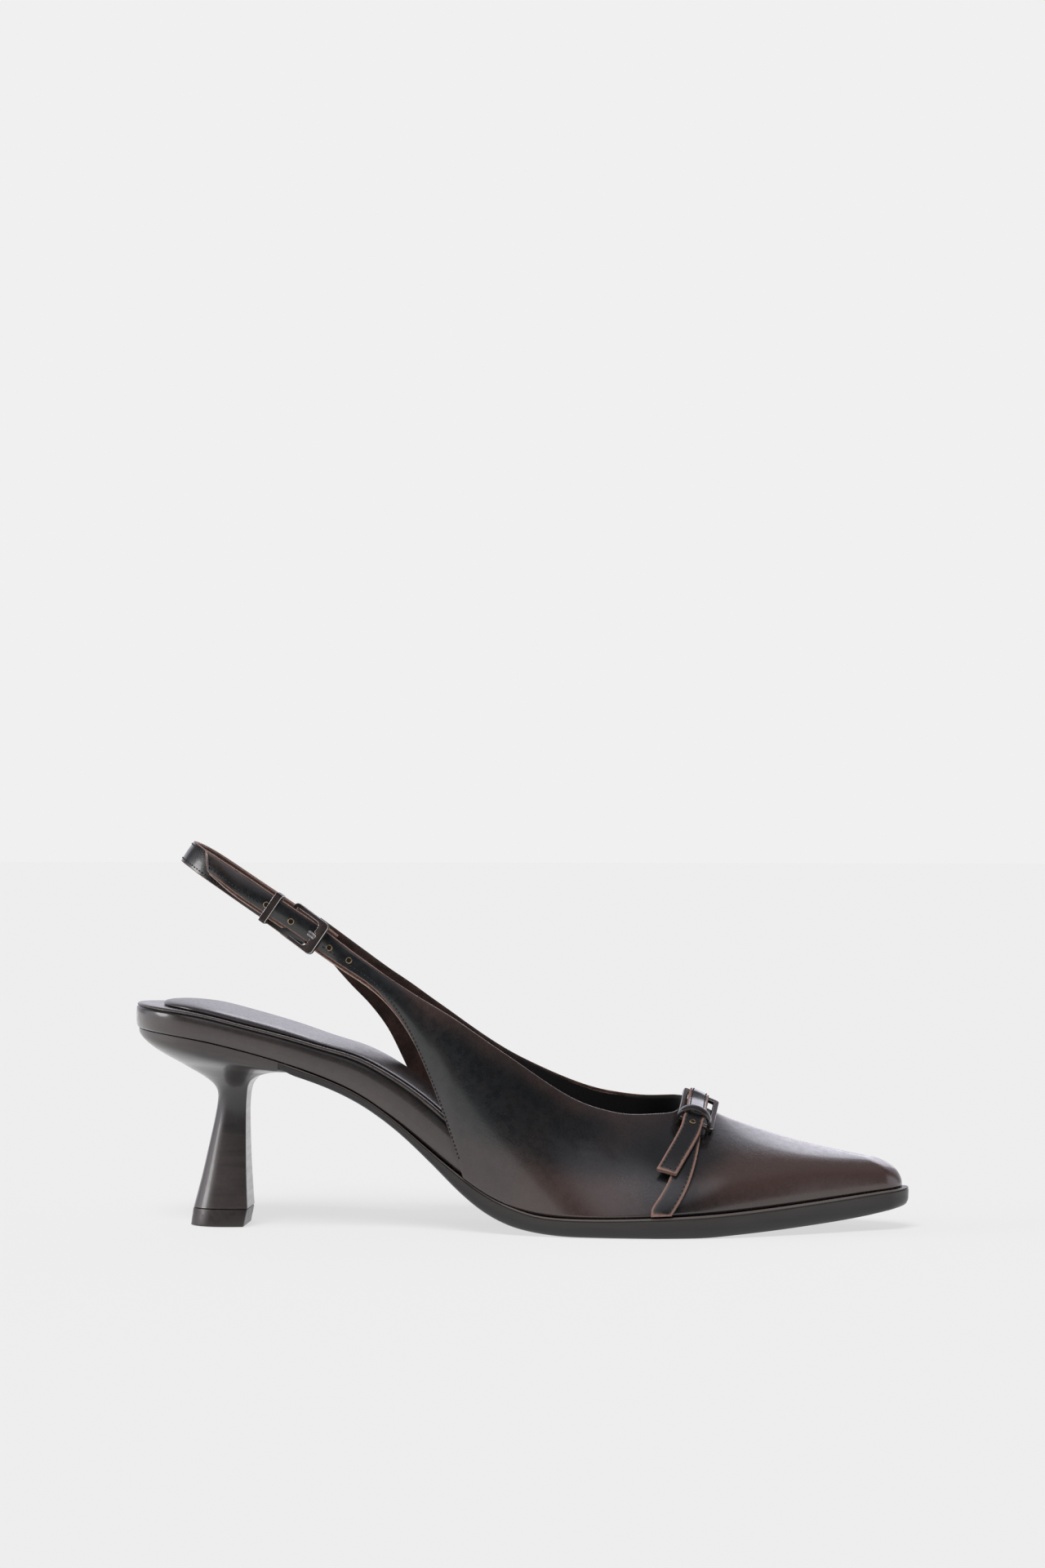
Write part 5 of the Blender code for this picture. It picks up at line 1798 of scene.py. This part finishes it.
def make_world():
    """Pale to the camera. For light and reflections it is dark in front, and bright above, behind,
    at the two ends and in a soft box up in front."""
    world = bpy.data.worlds.new("studio")
    bpy.context.scene.world = world
    world.use_nodes = True
    tree = world.node_tree
    tree.nodes.clear()
    place = node(tree, "ShaderNodeTexCoord").outputs["Generated"]
    way = node(tree, "ShaderNodeSeparateXYZ", {0: place}).outputs
    to_softbox = {0: place, 1: (-0.20, -0.66, 0.72)}
    toward = node(tree, "ShaderNodeVectorMath", to_softbox, operation="DOT_PRODUCT").outputs["Value"]
    dark, above, behind, beside, softbox = 0.04, 0.20, 0.85, 1.3, 0.9
    level = maths(tree, "MULTIPLY_ADD", stepped(tree, way["Z"], 0.60, 0.90), above, dark)
    level = maths(tree, "MULTIPLY_ADD", stepped(tree, way["Y"], 0.42, 0.85), behind, level)
    ends = stepped(tree, maths(tree, "ABSOLUTE", way["X"]), 0.78, 0.96)
    level = maths(tree, "MULTIPLY_ADD", ends, beside, level)
    level = maths(tree, "MULTIPLY_ADD", stepped(tree, toward, 0.80, 0.97), softbox, level)
    seen = node(tree, "ShaderNodeLightPath").outputs["Is Camera Ray"]
    strength = node(tree, "ShaderNodeMix", {0: seen, 2: level, 3: 1.0}).outputs[0]
    colour = mixed(tree, seen, (0.89, 0.87, 0.96), (FLOOR_TONE, FLOOR_TONE, FLOOR_TONE))
    light = node(tree, "ShaderNodeBackground", {"Color": colour, "Strength": strength})
    node(tree, "ShaderNodeOutputWorld", {"Surface": light.outputs[0]})


# Soft lamps: where each stands, its strength, its width in degrees, its colour, whether it shows
# in glossy leather, where the studio's bright patches stand in for the key lamp, and whether it
# lights matt surfaces
LAMPS = (
    ("key_lamp", (-0.15, -0.72, 1.0), 2.4, 26.0, (1.0, 0.975, 0.95), False, True),
    ("rim_lamp", (0.20, 0.85, 0.46), 0.34, 30.0, (0.92, 0.90, 1.0), True, False),
    ("heel_lamp", (-0.95, -0.15, 0.30), 0.8, 22.0, (1.0, 0.98, 0.97), True, True),
)


def make_lamps():
    """Even lamps, as wide discs, so that the floor stays one tone."""
    for name, place, power, width, colour, mirrored, matt in LAMPS:
        lamp = bpy.data.lights.new(name, "SUN")
        lamp.angle = math.radians(width)
        lamp.energy = power
        lamp.color = colour
        item = bpy.data.objects.new(name, lamp)
        item.visible_glossy = mirrored
        item.visible_diffuse = matt
        bpy.context.scene.collection.objects.link(item)
        item.location = place
        tilt = math.atan2(math.hypot(place[0], place[1]), place[2])
        item.rotation_euler = (tilt, 0.0, math.atan2(place[1], place[0]) + math.pi / 2)


def make_camera():
    """The photograph's view: level, four degrees towards the toe, 1.3 m away."""
    turn = math.radians(4.0)
    distance = 1.3
    aim_x, aim_y, height = 0.0006, -0.0004, 0.1429
    camera = bpy.data.cameras.new("camera")
    camera.sensor_width = 36.0
    camera.lens = 92.3
    item = bpy.data.objects.new("camera", camera)
    bpy.context.scene.collection.objects.link(item)
    item.location = (aim_x + distance * math.sin(turn), aim_y - distance * math.cos(turn), height)
    item.rotation_euler = (math.pi / 2, 0.0, turn)
    bpy.context.scene.camera = item


def make_materials():
    """Every finish of the shoe, by a short name."""
    groups = {"grain": grain_group(), "burnish": burnish_and_shade_group(), "cut_edge": cut_edge_group()}
    near_black = (0.0062, 0.0074, 0.0082)
    warm_black = (0.008, 0.0075, 0.0075)
    return {
        # The upper's leather takes painted light and shade through its finish map as well as its rub-off.
        "leather": leather_material(
            "burnished_leather", groups, near_black, (0.056, 0.036, 0.0315),
            edge_width=0.30, roughness=0.27,
        ),
        "sling": leather_material(
            "sling_leather", groups, near_black, (0.048, 0.031, 0.026),
            edge_width=0.22, roughness=0.29, lining=SUEDE_WITH_SHADE[1],
        ),
        "vamp": leather_material(
            "vamp_strap_leather", groups, near_black, (0.062, 0.042, 0.036),
            edge_width=0.62, roughness=0.30, lining=SUEDE_WITH_SHADE[1], edge_rub=0.6,
        ),
        "keeper": leather_material(
            "keeper_leather", groups, warm_black, (0.030, 0.022, 0.020),
            edge_width=0.10, roughness=0.26, fibres=RAW_DARK,
        ),
        "band": leather_material(
            "band_leather", groups, (0.008, 0.0078, 0.0078), (0.046, 0.036, 0.032),
            edge_width=0.4, roughness=0.30, fibres=BAND_LIP_HIGHLIGHT,
        ),
        # Suede darkened for the shade inside the shoe, with a near-black painted shade in front of the
        # shank.
        "suede": raw_material("suede_lining_with_shade", groups, *SUEDE_WITH_SHADE, front=(0.0060, 0.0052, 0.0056)),
        "rim": raw_material("cut_rim", groups, *RAW_DARK),
        "edge": raw_material(
            "raw_edge", groups, (0.045, 0.024, 0.019), (0.19, 0.115, 0.092),
            line_width=0.36, line=(0.42, 0.30, 0.255),
        ),
        "sock": plain_material(
            "sock_leather", (0.026, 0.023, 0.0235), roughness=0.32, scale=700.0, depth=0.00001,
            coat_weight=0.5, coat_roughness=0.22,
        ),
        "thread": plain_material(
            "black_thread", (0.010, 0.010, 0.011), roughness=0.50, scale=3000.0, depth=0.00004,
        ),
        "metal": metal_material(
            "antique_metal", (0.062, 0.050, 0.047), wear=(0.60, 0.57, 0.56), roughness=0.42,
        ),
        "brass": plain_material(
            "dull_brass", (0.40, 0.29, 0.17), roughness=0.36, scale=2500.0, depth=0.00003,
            metallic=1.0,
        ),
        "hole": plain_material(
            "hole_shadow", (0.004, 0.004, 0.004), roughness=0.9, scale=900.0, depth=0.00001,
        ),
        # The low colour paints the shade on the sole's lower side; the line colour is rub and a painted
        # highlight along its top edge.
        "sole": sole_material(
            "sole_brown", top=(0.025, 0.0215, 0.020), low=(0.0105, 0.0090, 0.0086),
            rub_and_highlight_colour=(0.11, 0.094, 0.088), roughness=0.34,
        ),
        "rubber": plain_material(
            "top_piece_rubber", (0.026, 0.020, 0.019), roughness=0.36, scale=700.0, depth=0.00004,
        ),
        "cover": heel_material(
            "heel_leather", groups, (0.0085, 0.0078, 0.0078), (0.044, 0.035, 0.031)
        ),
    }


def main():
    """The studio, then the shoe from its upper to its heel."""
    bpy.context.scene.view_settings.view_transform = "Standard"
    make_camera()
    make_floor()
    make_world()
    make_lamps()
    finish = make_materials()
    make_upper(finish["leather"], finish["suede"], finish["edge"], finish["rim"])
    make_upper_stitches(finish["thread"])
    make_sling(finish["sling"], finish["thread"])
    make_sling_fold(finish["sling"])
    make_vamp_straps(finish["vamp"], finish["thread"])
    make_sling_metal(finish["metal"])
    make_vamp_metal(finish["metal"])
    make_leather_keeper(finish["keeper"])
    make_eyelets(finish["brass"], finish["hole"])
    make_outsole(finish["sole"])
    make_footbed(finish["band"])
    make_sock(finish["sock"])
    make_heel(finish["cover"], finish["rubber"])


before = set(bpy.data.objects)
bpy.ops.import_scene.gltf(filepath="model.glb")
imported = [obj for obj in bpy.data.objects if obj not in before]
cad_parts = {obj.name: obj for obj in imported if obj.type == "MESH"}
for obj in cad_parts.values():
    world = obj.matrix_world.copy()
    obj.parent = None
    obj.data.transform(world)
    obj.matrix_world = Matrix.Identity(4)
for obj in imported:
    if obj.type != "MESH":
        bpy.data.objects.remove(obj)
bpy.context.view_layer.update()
main()
